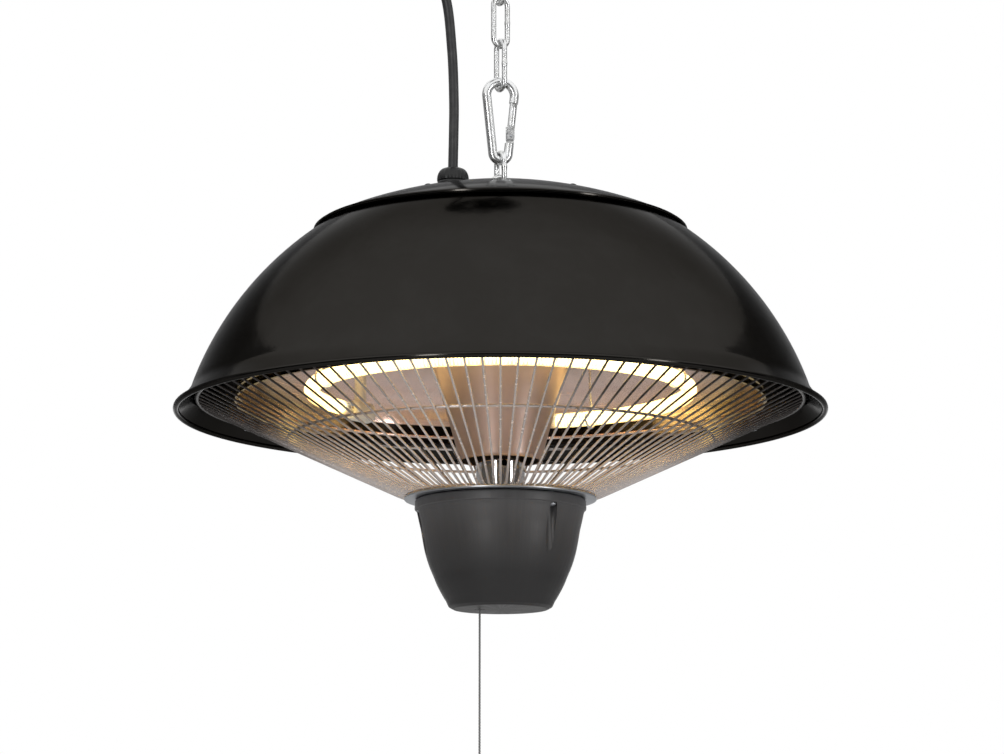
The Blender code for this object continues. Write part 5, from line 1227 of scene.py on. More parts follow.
def hex_nut(name, flats, thickness, bore, x, y, top, finish):
    """A hex nut under a height over the rim: six flats, and both ends cut by a cone."""
    corner = flats / math.sqrt(3)
    low = top - thickness
    cone = [
        (bore, top), (flats * 0.48, top), (corner * 1.02, top - corner * 0.14),
        (corner * 1.02, low + corner * 0.14), (flats * 0.48, low), (bore, low),
    ]
    nut = turned(name, cone, finish, x, y, steps=72)
    work = bmesh.new()
    for step in range(6):
        angle = math.radians(30 + 60 * step)
        normal = Vector((math.cos(angle), math.sin(angle), 0.0))
        if step == 0:
            work.from_mesh(nut.data)
        spot = Vector((x, y, over_rim(low))) + normal * flats / 2
        geometry = work.verts[:] + work.edges[:] + work.faces[:]
        made = bmesh.ops.bisect_plane(work, geom=geometry, plane_co=spot, plane_no=normal, clear_outer=True)
        rim = [item for item in made["geom_cut"] if isinstance(item, bmesh.types.BMEdge)]
        bmesh.ops.contextual_create(work, geom=rim)
    work.to_mesh(nut.data)
    work.free()
    outward(nut)
    nut.data.shade_smooth()
    nut.data.set_sharp_from_angle(angle=math.radians(28))
    return nut


for word, side in (("left", -1), ("right", 1)):
    nut = hex_nut(f"eye_nut_{word}_hex", 0.007, 0.0032, 0.00215, side * EYE_LEG, 0.0, 0.1230, ZINC)
    dress(nut, "heater", "zinc", f"eye_nut_{word}")
print("eye:", len(eye.data.polygons), "faces")

# %% [markdown]
# ## The dome
# The dome is spun from 1.2 mm steel: a flat top, a round wall, and a flared foot whose edge is rolled
# under so that no raw sheet shows. Its wall is part of a sphere, so an arc gives it. The flare is a short
# smooth line, and the roll is most of a circle that ends where it meets the inside of the sheet. Six vent
# holes in the flat top let warm air out under the cap.
# %% The dome's outline
RIM_RADIUS, DOME_TOP, SHEET = 0.2125, 0.1245, 0.0012
NUT_STUD_X, STUD_HOLE = 0.0476, 0.0023
SPHERE_RADIUS, SPHERE_DROP = 0.212699, 0.0541074
FLARE_TOP = 0.0185
ROLL = 0.0020

first = math.degrees(math.asin((DOME_TOP + SPHERE_DROP) / SPHERE_RADIUS))
last = math.degrees(math.asin((FLARE_TOP + SPHERE_DROP) / SPHERE_RADIUS))
wall = arc((0.0, -SPHERE_DROP), SPHERE_RADIUS, first, last, 56)
shoulder = rounded_off([(0.0, DOME_TOP), (wall[0][0] * 0.6, DOME_TOP), (*wall[0], 0.004), wall[3]], 8)
flare_knots = [(0.2015, 0.0140), (0.2039, 0.0103), (0.2078, 0.0056), (0.2106, 0.0026), (0.2119, 0.0012)]
flare = flat_line([wall[-1], *flare_knots], 22)
outer_line = shoulder + wall[4:-1] + flare
inner_line = offset_line(outer_line, SHEET)[:-3]
roll = arc((RIM_RADIUS - ROLL, ROLL), ROLL, 40, -249, 18)
dome_outline = outer_line + roll + inner_line[::-1]
dome = turned("dome_spun", dome_outline, ENAMEL, steps=168, sharp=60)
vents = []
for index in range(6):
    x, y = around(0.080, 30 + 60 * index)
    vents.append(post(f"vent_{index}", x, y, 0.011, over_rim(0.115), over_rim(0.130), ENAMEL, 40))
for side in (-1, 1):
    for word, x in (("eye", EYE_LEG), ("stud", NUT_STUD_X)):
        hole = post(
            f"{word}_hole_{side}", side * x, 0.0, STUD_HOLE, over_rim(0.115), over_rim(0.130), ENAMEL, 24,
        )
        vents.append(hole)
dome = cut(dome, vents, 60)
dress(dome, "heater", "black_enamel", "dome_shade")
print(
    "dome:", len(dome.data.polygons), "faces, rim radius",
    max(round(v.co.x, 4) for v in dome.data.vertices),
)

# %% [markdown]
# ## The top cap
# The cap is pressed from the same sheet and stands a few millimetres over the dome on two spacers. Its
# height falls slowly at first and then steeply, which a power of the radius describes well. Steps that
# get shorter towards the edge keep the steep part smooth, and its edge is rolled like the dome's. The two
# acorn nuts on it are a hex and a turned crown in one mesh, in the dome's enamel.
# %% The cap, its spacers and nuts
CAP_RADIUS, CAP_EDGE, CAP_RISE = 0.1230, 0.1220, 0.0317
CAP_ROLL = 0.0013


def cap_height(radius):
    """Height over the rim of the cap's outer face at a radius."""
    share = min(radius / CAP_RADIUS, 1.0)
    return CAP_EDGE + CAP_RISE * (1 - share ** 1.624) ** (1 / 1.163)


cap_line = []
for step in range(44):
    radius = CAP_RADIUS * (1 - (1 - step / 44) ** 2.2)
    cap_line.append((radius, cap_height(radius)))
cap_line.append((CAP_RADIUS, CAP_EDGE + 0.0009))
cap_inner = offset_line(cap_line, SHEET)[:-2]
cap_roll = arc((CAP_RADIUS - CAP_ROLL, CAP_EDGE + 0.0006), CAP_ROLL, 0, -262, 18)
cap = turned("cap_pressed", cap_line + cap_roll + cap_inner[::-1], ENAMEL, steps=144, sharp=60)
cap_holes = []
for side in (-1, 1):
    x = side * EYE_LEG
    cap_holes.append(
        post(f"cap_hole_{side}", x, 0.0, STUD_HOLE, over_rim(0.140), over_rim(0.160), ENAMEL, 24)
    )
cap = cut(cap, cap_holes, 60)
dress(cap, "heater", "black_enamel", "top_cap")

for word, side in (("left", -1), ("right", 1)):
    x = side * NUT_STUD_X
    seat = cap_height(NUT_STUD_X - 0.0052) + GAP
    crown = 0.156 - seat
    hexed = hex_nut(f"cap_hex_{word}", 0.0090, crown * 0.45, 0.0021, x, 0.0, seat + crown * 0.45, ENAMEL)
    dome_nut = [(0.0, 0.156), (0.0012, 0.15585), (0.0023, 0.15535), (0.0032, 0.15445), (0.0037, 0.1534)]
    dome_nut += [(0.0039, seat + crown * 0.42), (0.0, seat + crown * 0.42)]
    acorn = turned(f"cap_acorn_{word}", dome_nut, ENAMEL, x, steps=36)
    rod = turned(
        f"cap_rod_{word}", [(0.0, seat + 0.001), (0.002, seat + 0.001), (0.002, 0.118), (0.0, 0.118)],
        ENAMEL, x, steps=24,
    )
    dress(joined(f"cap_nut_{word}_acorn", [hexed, acorn, rod]), "heater", "black_enamel", f"cap_nut_{word}")
    high = cap_height(0.0516) - 0.0013
    ring = rounded_off([(0.0023, 0.1248), (0.004, 0.1248, 0.0004), (0.004, high, 0.0004), (0.0023, high)])
    dress(
        turned(f"cap_spacer_{word}_turned", ring, ZINC, x, steps=40), "heater", "zinc",
        f"cap_spacer_{word}",
    )
print("cap:", len(cap.data.polygons), "faces")

# %% [markdown]
# ## The cable gland
# The cable goes into the cap through a plastic gland: a flanged body, and a domed nut that is screwed
# down to grip the jacket. The dome of the nut has low grip ribs. They follow the nut's curve, so they
# are made by a wave in the radius as the outline is turned, which dies away to nothing at the top.
# %% Gland, lock nut and terminal block
GLAND_X, GLAND_RADIUS = -0.0314, 0.0105
foot = cap_height(abs(GLAND_X) + GLAND_RADIUS) - 0.0004
body_outline = [
    (0.0035, 0.1570), (0.0100, 0.1570, 0.0004), (GLAND_RADIUS, 0.1560, 0.0004),
    (GLAND_RADIUS, foot, 0.0005), (0.006, foot),
    (0.006, 0.139, 0.0004), (0.0035, 0.139),
]
gland_body = turned("gland_body_moulded", rounded_off(body_outline), PLASTIC, GLAND_X, steps=72)
dress(gland_body, "heater", "black_plastic", "gland_body")
nut_outline = [
    (0.00355, 0.1655), (0.0045, 0.1660, 0.0004), (0.0062, 0.1659), (0.0076, 0.1653), (0.0088, 0.1643),
    (0.0097, 0.1629), (0.01025, 0.1612),
    (GLAND_RADIUS, 0.1595), (GLAND_RADIUS, 0.1573, 0.0004), (0.00355, 0.1573),
]
gland_nut = turned("gland_nut_moulded", rounded_off(nut_outline), PLASTIC, GLAND_X, steps=216, sharp=60)
for vertex in gland_nut.data.vertices:
    x, y = vertex.co.x - GLAND_X, vertex.co.y
    radius = math.hypot(x, y)
    fade = min(max((radius - 0.0078) / 0.0022, 0.0), 1.0)
    depth = 0.00028 * fade * (0.5 - 0.5 * math.cos(18 * math.atan2(y, x)))
    vertex.co.x = GLAND_X + x * (1 - depth / max(radius, 1e-6))
    vertex.co.y = y * (1 - depth / max(radius, 1e-6))
dress(gland_nut, "heater", "black_plastic", "gland_nut")
LOCK_FLATS = 0.018
lock_top = cap_height(abs(GLAND_X) + LOCK_FLATS / math.sqrt(3)) - SHEET * 1.1 - GAP
lock = hex_nut("gland_lock_nut_hex", LOCK_FLATS, 0.004, 0.0062, GLAND_X, 0.0, lock_top, PLASTIC)
dress(lock, "heater", "black_plastic", "gland_lock_nut")

block = snap_block(
    "block_body", (-0.051, 0.027, over_rim(0.109)), (-0.021, 0.043, over_rim(0.123)), CERAMIC, 0.0012,
)
block.data.transform(Matrix.Rotation(math.radians(-SNAP_TURN), 4, "Z"))
WELL_Y = 0.035
well_places = [-0.0435 + 0.0075 * step for step in range(3)]
wells = []
for step, x in enumerate(well_places):
    wells.append(post(f"well_{step}", x, WELL_Y, 0.0024, over_rim(0.105), over_rim(0.1125), CERAMIC, 24))
block = cut(block, wells)
heads = []
for step, x in enumerate(well_places):
    head = screw_head(f"well_screw_{step}", 0.0020, 0.0012)
    head.data.transform(Matrix.Translation((x, WELL_Y, over_rim(0.1118))))
    heads.append(head)
dress(joined("terminal_block_glazed", [block, *heads]), "heater", "ceramic", "terminal_block")
print("gland and block:", len(gland_nut.data.polygons), "faces on the ribbed nut")

# %% [markdown]
# ## The reflector
# The dish over the lamp is a trough: it rises from the cone in the middle, arches over the lamp and comes
# down to a hem with a small bead rolled round it. A parabola and a quarter ellipse that meet level at the
# trough's top give it. The cone closes the middle and sends the heat outward; its radius goes with a power
# of the height, which bends its side a little. Both are thin sheet, so the second face is the first one
# shifted by the sheet's thickness. Three turned studs hold the dish under the dome's top.
# %% Dish, cone and studs
HEM_RADIUS, HEM_HEIGHT, HEM_BAND, HEM_STEP = 0.172, 0.0075, 0.005, 0.0012
TROUGH_RADIUS, TROUGH_HEIGHT, DISH_INNER, DISH_INNER_HEIGHT = 0.118, 0.062, 0.054, 0.046
THIN = 0.001


def dish_height(radius):
    """Height over the rim of the reflector's lower face at a radius."""
    if radius > TROUGH_RADIUS:
        band_top = HEM_HEIGHT + HEM_BAND
        share = min((radius - TROUGH_RADIUS) / (HEM_RADIUS - HEM_STEP - TROUGH_RADIUS), 1.0)
        return band_top + (TROUGH_HEIGHT - band_top) * math.sqrt(1 - share ** 2)
    share = (TROUGH_RADIUS - radius) / (TROUGH_RADIUS - DISH_INNER)
    return TROUGH_HEIGHT - (TROUGH_HEIGHT - DISH_INNER_HEIGHT) * share ** 2


dish_line = [(0.050, DISH_INNER_HEIGHT), (0.0515, DISH_INNER_HEIGHT)]
for step in range(25):
    radius = DISH_INNER + (TROUGH_RADIUS - DISH_INNER) * step / 24
    dish_line.append((radius, dish_height(radius)))
outer_wall = HEM_RADIUS - HEM_STEP
for step in range(1, 28):
    angle = math.radians(90 - 90 * step / 28)
    rise = TROUGH_HEIGHT - HEM_HEIGHT - HEM_BAND
    dish_line.append(
        (
            TROUGH_RADIUS + (outer_wall - TROUGH_RADIUS) * math.cos(angle),
            HEM_HEIGHT + HEM_BAND + rise * math.sin(angle),
        )
    )
dish_line += [
    (outer_wall - bulge, height)
    for bulge, height in (
        (0.0, 0.0141), (0.0006, 0.0136), (0.0009, 0.0129), (0.0006, 0.0122), (0.0, 0.0117),
    )
]
dish_line += [
    (outer_wall, HEM_HEIGHT + 0.0032), (outer_wall, HEM_HEIGHT + 0.0018),
    (outer_wall + 0.0004, HEM_HEIGHT + 0.0008), (HEM_RADIUS, HEM_HEIGHT),
]
back = offset_line(dish_line, -THIN)
hem_edge = [(HEM_RADIUS + 0.0006, HEM_HEIGHT), (HEM_RADIUS + 0.0010, HEM_HEIGHT + 0.0004)]
dish = turned("reflector_dish_spun", dish_line + hem_edge + back[::-1], COPPER, steps=168, sharp=50)
dress(dish, "heater", "copper_reflector", "reflector_dish")

cone_top = DISH_INNER_HEIGHT + THIN + GAP
CONE_FOOT, CONE_FOOT_RADIUS, CONE_SPREAD = -0.0290, 0.027, 0.0227
cone_line = [(0.0258, CONE_FOOT - 0.0002), (0.0265, CONE_FOOT - 0.0006)]
for step in range(40):
    height = CONE_FOOT + (cone_top - CONE_FOOT) * step / 39
    share = min((height - CONE_FOOT) / (DISH_INNER_HEIGHT - CONE_FOOT), 1.0)
    cone_line.append((CONE_FOOT_RADIUS + CONE_SPREAD * share ** 1.15, height))
cone_line.append((0.054, cone_top))
cone = turned(
    "reflector_cone_spun", cone_line + offset_line(cone_line, -THIN)[::-1], SATIN_COPPER, steps=144,
    sharp=50,
)
dress(cone, "heater", "copper_reflector", "reflector_cone")

STUD_CIRCLE, STUD_RADIUS, STUD_NECK = 0.100, 0.003, 0.0026
for index, angle in enumerate((90, 210, 330)):
    x, y = around(STUD_CIRCLE, angle)
    low = max(dish_height(STUD_CIRCLE + STUD_RADIUS), dish_height(STUD_CIRCLE)) + THIN + 2 * GAP
    post_line = [
        (0.0, 0.1230), (STUD_RADIUS, 0.1230, 0.0003), (STUD_RADIUS, 0.1195), (STUD_NECK, 0.1190),
        (STUD_NECK, low + 0.0045), (STUD_RADIUS, low + 0.004), (STUD_RADIUS, low, 0.0003), (0.0, low),
    ]
    stud = turned(f"reflector_stud_{index + 1}_turned", rounded_off(post_line), ZINC, x, y, steps=36)
    dress(stud, "heater", "zinc", f"reflector_stud_{index + 1}")
print("reflector:", len(dish.data.polygons) + len(cone.data.polygons), "faces")

# %% [markdown]
# ## The ring lamp
# The lamp is a quartz tube bent to most of a ring, with a tungsten wire wound in a tight helix inside.
# The helix lies along the middle of the tube and glows from just inside one ceramic end to a little before
# the other, with a plain lead at each end. It is a path with a rule, so a tree makes it: it winds points
# round a ring with sine and cosine, and sweeps a thin circle along them. The tube is clear glass. A lamp
# that is lit looks like a string of pale beads, because the helix is stretched and packed in turns, and
# the glass round it glows with it. So the glow in the glass is also given by the angle round the ring.
# %% The filament and the quartz tube
LAMP_CIRCLE, LAMP_HEIGHT, LAMP_RADIUS = 0.123, 0.0165, 0.005
LAMP_START, LAMP_END = 145, 455
LIT_START, LIT_END = 150, 432
BEADS, FILAMENT_TURNS = 84, 252

FILAMENT = Finish("glowing_filament", (0.9, 0.7, 0.4), 0.5)
FILAMENT.set(Emission_Color=(1.0, 0.80, 0.32, 1.0), Emission_Strength=3.2)
FILAMENT.bump(FILAMENT.noise(4000.0, 2.0), 0.00002)

QUARTZ = Finish("lamp_glass", (0.96, 0.95, 0.92), 0.03, 0.0, Transmission_Weight=1.0, IOR=1.45)
QUARTZ.roughness(QUARTZ.noise(140.0, 3.0), 0.02, 0.07)
QUARTZ.bump(QUARTZ.noise(60.0, 2.0), 0.00003)
place = QUARTZ.node("SeparateXYZ", {"Vector": QUARTZ.round_the_axis()}).outputs
unlit = math.radians((LIT_END - 360 + LIT_START) / 2)
apart = QUARTZ.maths("ABSOLUTE", QUARTZ.maths("SUBTRACT", place["X"], unlit))
lit = QUARTZ.ranged(apart, 0.0, 1.0, math.radians(37.5), math.radians(40))
wave = QUARTZ.maths("SINE", QUARTZ.maths("MULTIPLY", place["X"], BEADS))
bead = QUARTZ.maths(
    "MULTIPLY", QUARTZ.ranged(wave, 0.62, 1.1, -1.0, 1.0),
    QUARTZ.ranged(QUARTZ.noise(90.0, 2.0), 0.8, 1.15),
)
off = QUARTZ.maths("ABSOLUTE", QUARTZ.maths("SUBTRACT", place["Z"], over_rim(LAMP_HEIGHT)))
core = QUARTZ.ranged(off, 1.0, 0.0, 0.0010, 0.0042)
glow = QUARTZ.node(
    "Mix", {"Factor": core, 6: (0.95, 0.62, 0.12, 1.0), 7: (1.0, 0.88, 0.50, 1.0)}, data_type="RGBA",
).outputs[2]
glow = QUARTZ.node(
    "VectorMath", {0: glow, "Scale": QUARTZ.maths("MULTIPLY", lit, bead)}, operation="SCALE",
).outputs["Vector"]
QUARTZ.links.new(glow, QUARTZ.shader.inputs["Emission Color"])
QUARTZ.set(Emission_Strength=1.1)


def helix_tree():
    """Wind a thin round wire round an arc of a ring."""
    tree = Tree("wound_filament")
    turns = tree.input("Turns", "Float", 200.0)
    start = tree.input("Start angle", "Float", 0.0)
    sweep = tree.input("Sweep", "Float", 5.0)
    ring = tree.input("Ring radius", "Float", 0.1)
    coil = tree.input("Coil radius", "Float", 0.002)
    thick = tree.input("Wire diameter", "Float", 0.0006)
    height = tree.input("Height", "Float", 0.0)
    count = tree.input("Points", "Int", 2000)
    line = tree.node("GeometryNodeMeshLine", {"Count": count}).outputs[0]
    index = tree.node("GeometryNodeInputIndex").outputs[0]
    share = tree.maths("DIVIDE", index, count)
    wound = tree.maths("MULTIPLY", tree.maths("MULTIPLY", share, turns), math.tau)
    angle = tree.maths("MULTIPLY_ADD", share, sweep, start)
    radius = tree.maths("MULTIPLY_ADD", tree.maths("COSINE", wound), coil, ring)
    lift = tree.maths("MULTIPLY_ADD", tree.maths("SINE", wound), coil, height)
    x = tree.maths("MULTIPLY", radius, tree.maths("COSINE", angle))
    y = tree.maths("MULTIPLY", radius, tree.maths("SINE", angle))
    place = tree.node("ShaderNodeCombineXYZ", {"X": x, "Y": y, "Z": lift}).outputs[0]
    placed = tree.node("GeometryNodeSetPosition", {"Geometry": line, "Position": place}).outputs[0]
    curve = tree.node("GeometryNodeMeshToCurve", {"Mesh": placed}).outputs[0]
    return tree.finish(tree.swept(curve, tree.circle(thick, 5)))


helix_values = {
    "Turns": float(FILAMENT_TURNS), "Points": FILAMENT_TURNS * 14, "Ring radius": LAMP_CIRCLE,
    "Start angle": math.radians(LIT_START), "Sweep": math.radians(LIT_END - LIT_START),
    "Coil radius": 0.0026, "Wire diameter": 0.00084, "Height": over_rim(LAMP_HEIGHT),
    "Finish": FILAMENT.material,
}
filament = outward(grown("lamp_filament", helix_tree(), helix_values))
filament.data.shade_smooth()
dress(filament, "heater", "lamp_glass")

tube_line = []
for step in range(181):
    angle = LAMP_START + (LAMP_END - LAMP_START) * step / 180
    tube_line.append(Vector((*around(LAMP_CIRCLE, angle), over_rim(LAMP_HEIGHT))))
shell = wire("lamp_tube_quartz", tube_line, 2 * LAMP_RADIUS, QUARTZ, sides=24)
dress(shell, "heater", "lamp_glass", "lamp_tube")
leads = []
for number, (start, end) in enumerate(((LAMP_START - 2, LIT_START), (LIT_END, LAMP_END + 2))):
    spots = [
        Vector((*around(LAMP_CIRCLE, start + (end - start) * step / 8), over_rim(LAMP_HEIGHT)))
        for step in range(9)
    ]
    leads.append(wire(f"lamp_lead_{number}", spots, 0.0012, CHROME, sides=10))
dress(joined("lamp_leads", leads), "heater", "chrome")
print(
    "lamp:", len(filament.data.polygons), "faces in the filament,", len(shell.data.polygons), "in the tube",
)

# %% [markdown]
# ## The lamp's ends and clips
# A ceramic cap is cemented on each end of the tube and stands on a short stem under the dish. Between
# them three bent wire clips carry the ring. The caps lie along the ring's tangent, so they are turned
# upright first, like every round piece, and then laid over by a matrix.
# %% Ceramic ends and wire clips
STEM_TOP = dish_height(LAMP_CIRCLE + 0.006) - GAP
CLIP_WIRE = 0.002
for word, angle, way in (("left", LAMP_START, -1), ("right", LAMP_END, 1)):
    outline = [
        (0.0, 0.0), (0.0058, 0.0, 0.0006), (0.007, 0.0012, 0.0006), (0.007, 0.0085), (0.0066, 0.0089),
        (0.0066, 0.0106), (0.007, 0.0110), (0.007, 0.0185, 0.0008), (0.0061, 0.020, 0.0006), (0.0, 0.020),
    ]
    sleeve = turned(f"lamp_sleeve_{word}", rounded_off(outline), CERAMIC, z=0.0, steps=48)
    x, y = around(LAMP_CIRCLE, angle)
    along = Vector((*around(way, angle + 90), 0.0))
    face = Vector((x, y, over_rim(LAMP_HEIGHT)))
    lay = along.to_track_quat("Z", "Y").to_matrix().to_4x4()
    sleeve.data.transform(Matrix.Translation(face) @ lay)
    mid = face + along * 0.010
    stem_line = [(0.0, LAMP_HEIGHT), (0.004, LAMP_HEIGHT), (0.004, STEM_TOP, 0.0004), (0.0, STEM_TOP)]
    stem = turned(f"lamp_stem_{word}", rounded_off(stem_line), CERAMIC, mid.x, mid.y, steps=36)
    dress(joined(f"lamp_end_{word}_cast", [sleeve, stem]), "heater", "ceramic", f"lamp_end_{word}")
reach = LAMP_RADIUS + GAP + CLIP_WIRE / 2
clip_top = dish_height(LAMP_CIRCLE + 0.002) - 2 * GAP
for index, angle in enumerate((205, 335, 60)):
    bend = arc((LAMP_CIRCLE, LAMP_HEIGHT), reach, 62, -200, 30)
    clip_line = [
        (LAMP_CIRCLE, clip_top), (LAMP_CIRCLE, clip_top - 0.006), (LAMP_CIRCLE + 0.0002, 0.034),
        (LAMP_CIRCLE + 0.0014, 0.0265),
    ] + bend
    spots = upright([(r, over_rim(z)) for r, z in clip_line], angle)
    clip = wire(f"lamp_clip_{index + 1}_bent", spots, CLIP_WIRE, ZINC, rounded=(False, True), sides=12)
    dress(clip, "heater", "zinc", f"lamp_clip_{index + 1}")
print("lamp ends: 2, clips: 3")

# %% [markdown]
# ## The centre tube
# A chromed tube runs from the dome's top through the cone down to the guard plate. Everything below the
# lamp hangs on it. It shows only where it comes out of the cone, with a small hole near the cone's foot.
# Its length comes from the guard: the wires slope down from their ring to a bend, fall a little more, and
# end on the plate. The frame's wires are 2 mm thick, so half of that and a gap come off as well.
# %% The centre tube and its nut
RING_RADIUS, RING_HEIGHT, BEND_RADIUS, BEND_FALL = 0.197, 0.0092, 0.067, 0.0012
GUARD_SLOPE_DEG, FRAME_WIRE = 24.9, 0.002
GUARD_SLOPE = math.tan(math.radians(GUARD_SLOPE_DEG))
PLATE_TOP = RING_HEIGHT + GUARD_SLOPE * (BEND_RADIUS - RING_RADIUS) - BEND_FALL - FRAME_WIRE / 2 - GAP
PLATE_BORE, PLATE_SHEET = 0.0163, 0.0014
TUBE_RADIUS, TUBE_BORE, COLLAR_RADIUS = 0.016, 0.0148, 0.020
tube_outline = [
    (0.026, 0.1230, 0.0003), (0.026, 0.1215, 0.0003), (TUBE_RADIUS, 0.1215),
    (TUBE_RADIUS, PLATE_TOP + 0.0023),
    (COLLAR_RADIUS, PLATE_TOP + 0.0023, 0.0005), (COLLAR_RADIUS, PLATE_TOP + GAP, 0.0003),
    (TUBE_RADIUS, PLATE_TOP + GAP), (TUBE_RADIUS, PLATE_TOP - 0.0124, 0.0003),
    (TUBE_BORE, PLATE_TOP - 0.0124, 0.0003), (TUBE_BORE, 0.1230),
]
centre_tube = turned("centre_tube_drawn", rounded_off(tube_outline), CHROME, steps=96)
drill = [Vector((0.0026, y, over_rim(-0.0327))) for y in (-0.030, -0.019, -0.008)]
centre_tube = cut(centre_tube, [wire("tube_drill", drill, 0.0042, CHROME, sides=24)])
dress(centre_tube, "heater", "chrome", "centre_tube")
tube_nut = hex_nut("tube_nut_hex", 0.042, 0.005, PLATE_BORE, 0.0, 0.0, PLATE_TOP - PLATE_SHEET - GAP, ZINC)
dress(tube_nut, "heater", "zinc", "tube_nut")
print("plate top at", round(PLATE_TOP, 5), "m over the rim")

# %% [markdown]
# ## The wire guard
# The guard is 108 thin wires, spot welded at their outer ends to a ring and laid on a steel plate at
# their inner ends. One wire is drawn, and a tree copies it round the axis: the copies are instances on
# points that are all at the middle, each turned by its own share of a full turn. The number of wires is
# an input of the tree, so the guard can be made denser without drawing anything again. Each wire ends in
# the middle of the ring's own wire, with a small swelling there for the weld.
# %% The guard's wires and ring
GUARD_WIRES, GUARD_WIRE, RING_WIRE, HOOP_WIRE = 108, 0.0015, 0.003, 0.0018
INNER_RADIUS, HOOP_RADIUS = 0.057, 0.1384


def guard_height(radius):
    """Height over the rim of the middle of the sloping wires at a radius."""
    return RING_HEIGHT + GUARD_SLOPE * (radius - RING_RADIUS)


def radial_tree():
    """Copy the given wire round the Z axis."""
    tree = Tree("copied_round")
    count = tree.input("Copies", "Int", 108)
    diameter = tree.input("Diameter", "Float", 0.002)
    sides = tree.input("Sides", "Int", 10)
    curve = tree.node("GeometryNodeMeshToCurve", {"Mesh": tree.given.outputs["Geometry"]}).outputs[0]
    radius = tree.node("GeometryNodeInputNamedAttribute", {"Name": "radius"}, data_type="FLOAT").outputs[0]
    one = tree.swept(curve, tree.circle(diameter, sides), radius)
    middle = tree.node("GeometryNodeMeshLine", {"Count": count, "Offset": (0.0, 0.0, 0.0)}).outputs[0]
    index = tree.node("GeometryNodeInputIndex").outputs[0]
    angle = tree.maths("MULTIPLY", tree.maths("DIVIDE", index, count), math.tau)
    turn = tree.node("ShaderNodeCombineXYZ", {"Z": angle}).outputs[0]
    copies = tree.node(
        "GeometryNodeInstanceOnPoints", {"Points": middle, "Instance": one, "Rotation": turn},
    ).outputs[0]
    return tree.finish(copies)


bend_height = guard_height(BEND_RADIUS)
end_height = PLATE_TOP + GAP + GUARD_WIRE / 2
wire_knots = [(INNER_RADIUS, end_height), (0.0605, end_height), (0.0640, end_height + 0.00035)]
wire_knots += [(BEND_RADIUS, bend_height + 0.0002), (0.0700, guard_height(0.0700))]
radii = [radius / 1000 for radius in (80, 100, 120, 138, 160, 180, 190, 194, 196, 197)]
wire_knots += [(radius, guard_height(radius)) for radius in radii]
spots = [Vector((radius, 0.0, over_rim(height))) for radius, height in wire_knots]
swell = [1.0] * (len(spots) - 3) + [1.05, 1.25, 1.15]
values = {"Copies": GUARD_WIRES, "Diameter": GUARD_WIRE, "Sides": 10, "Finish": GUARD_CHROME.material}
wires = outward(grown("guard_wires", radial_tree(), values, line_mesh("guard_wire", spots, radii=swell)))
wires.data.shade_smooth()
wires.data.set_sharp_from_angle(angle=math.radians(50))
ring_spots = [Vector((*around(RING_RADIUS, step * 1.5), over_rim(RING_HEIGHT))) for step in range(240)]
ring = wire("guard_ring", ring_spots, RING_WIRE, GUARD_CHROME, closed=True, sides=14)
dress(joined("wire_guard_welded", [wires, ring]), "heater", "chrome", "wire_guard")

hoop_gap = (GUARD_WIRE / 2 + 0.0001 + HOOP_WIRE / 2) / math.cos(math.radians(GUARD_SLOPE_DEG))
hoop_height = over_rim(guard_height(HOOP_RADIUS) + hoop_gap)
hoop_spots = [Vector((*around(HOOP_RADIUS, step * 1.5), hoop_height)) for step in range(240)]
hoop_swell = [1.0 + (0.10 if step % 60 == 5 else 0.0) for step in range(240)]
hoop = wire(
    "guard_hoop_round", hoop_spots, HOOP_WIRE, GUARD_CHROME, closed=True, sides=14, radii=hoop_swell,
)
dress(hoop, "heater", "chrome", "guard_hoop")
print("guard:", GUARD_WIRES, "wires")

# %% [markdown]
# ## Guard plate and clips
# The wires end on a round steel plate that is clamped under the centre tube's collar. Three bent strips
# hold the outer ring against the inside of the dome. A strip is a flat section swept along a bent line,
# so it is built as a row of cross sections and closed at both ends.
# %% The guard plate and clips
GUARD_PLATE_RADIUS, SCREW_CIRCLE = 0.0625, 0.0515
plate_low = PLATE_TOP - PLATE_SHEET
disc = [(PLATE_BORE, PLATE_TOP), (0.0600, PLATE_TOP), (GUARD_PLATE_RADIUS, PLATE_TOP, 0.0005)]
disc += [(GUARD_PLATE_RADIUS, plate_low, 0.0005), (PLATE_BORE, plate_low)]
guard_plate = turned("guard_plate_pressed", rounded_off(disc), STEEL, steps=144)
screw_angles = (-51, 69, 189)
holes = []
for angle in screw_angles:
    x, y = around(SCREW_CIRCLE, angle)
    low, high = over_rim(plate_low - 0.002), over_rim(PLATE_TOP + 0.002)
    holes.append(post(f"plate_bore_{angle}", x, y, 0.0020, low, high, STEEL, 24))
dress(cut(guard_plate, holes), "heater", "satin_steel", "guard_plate")


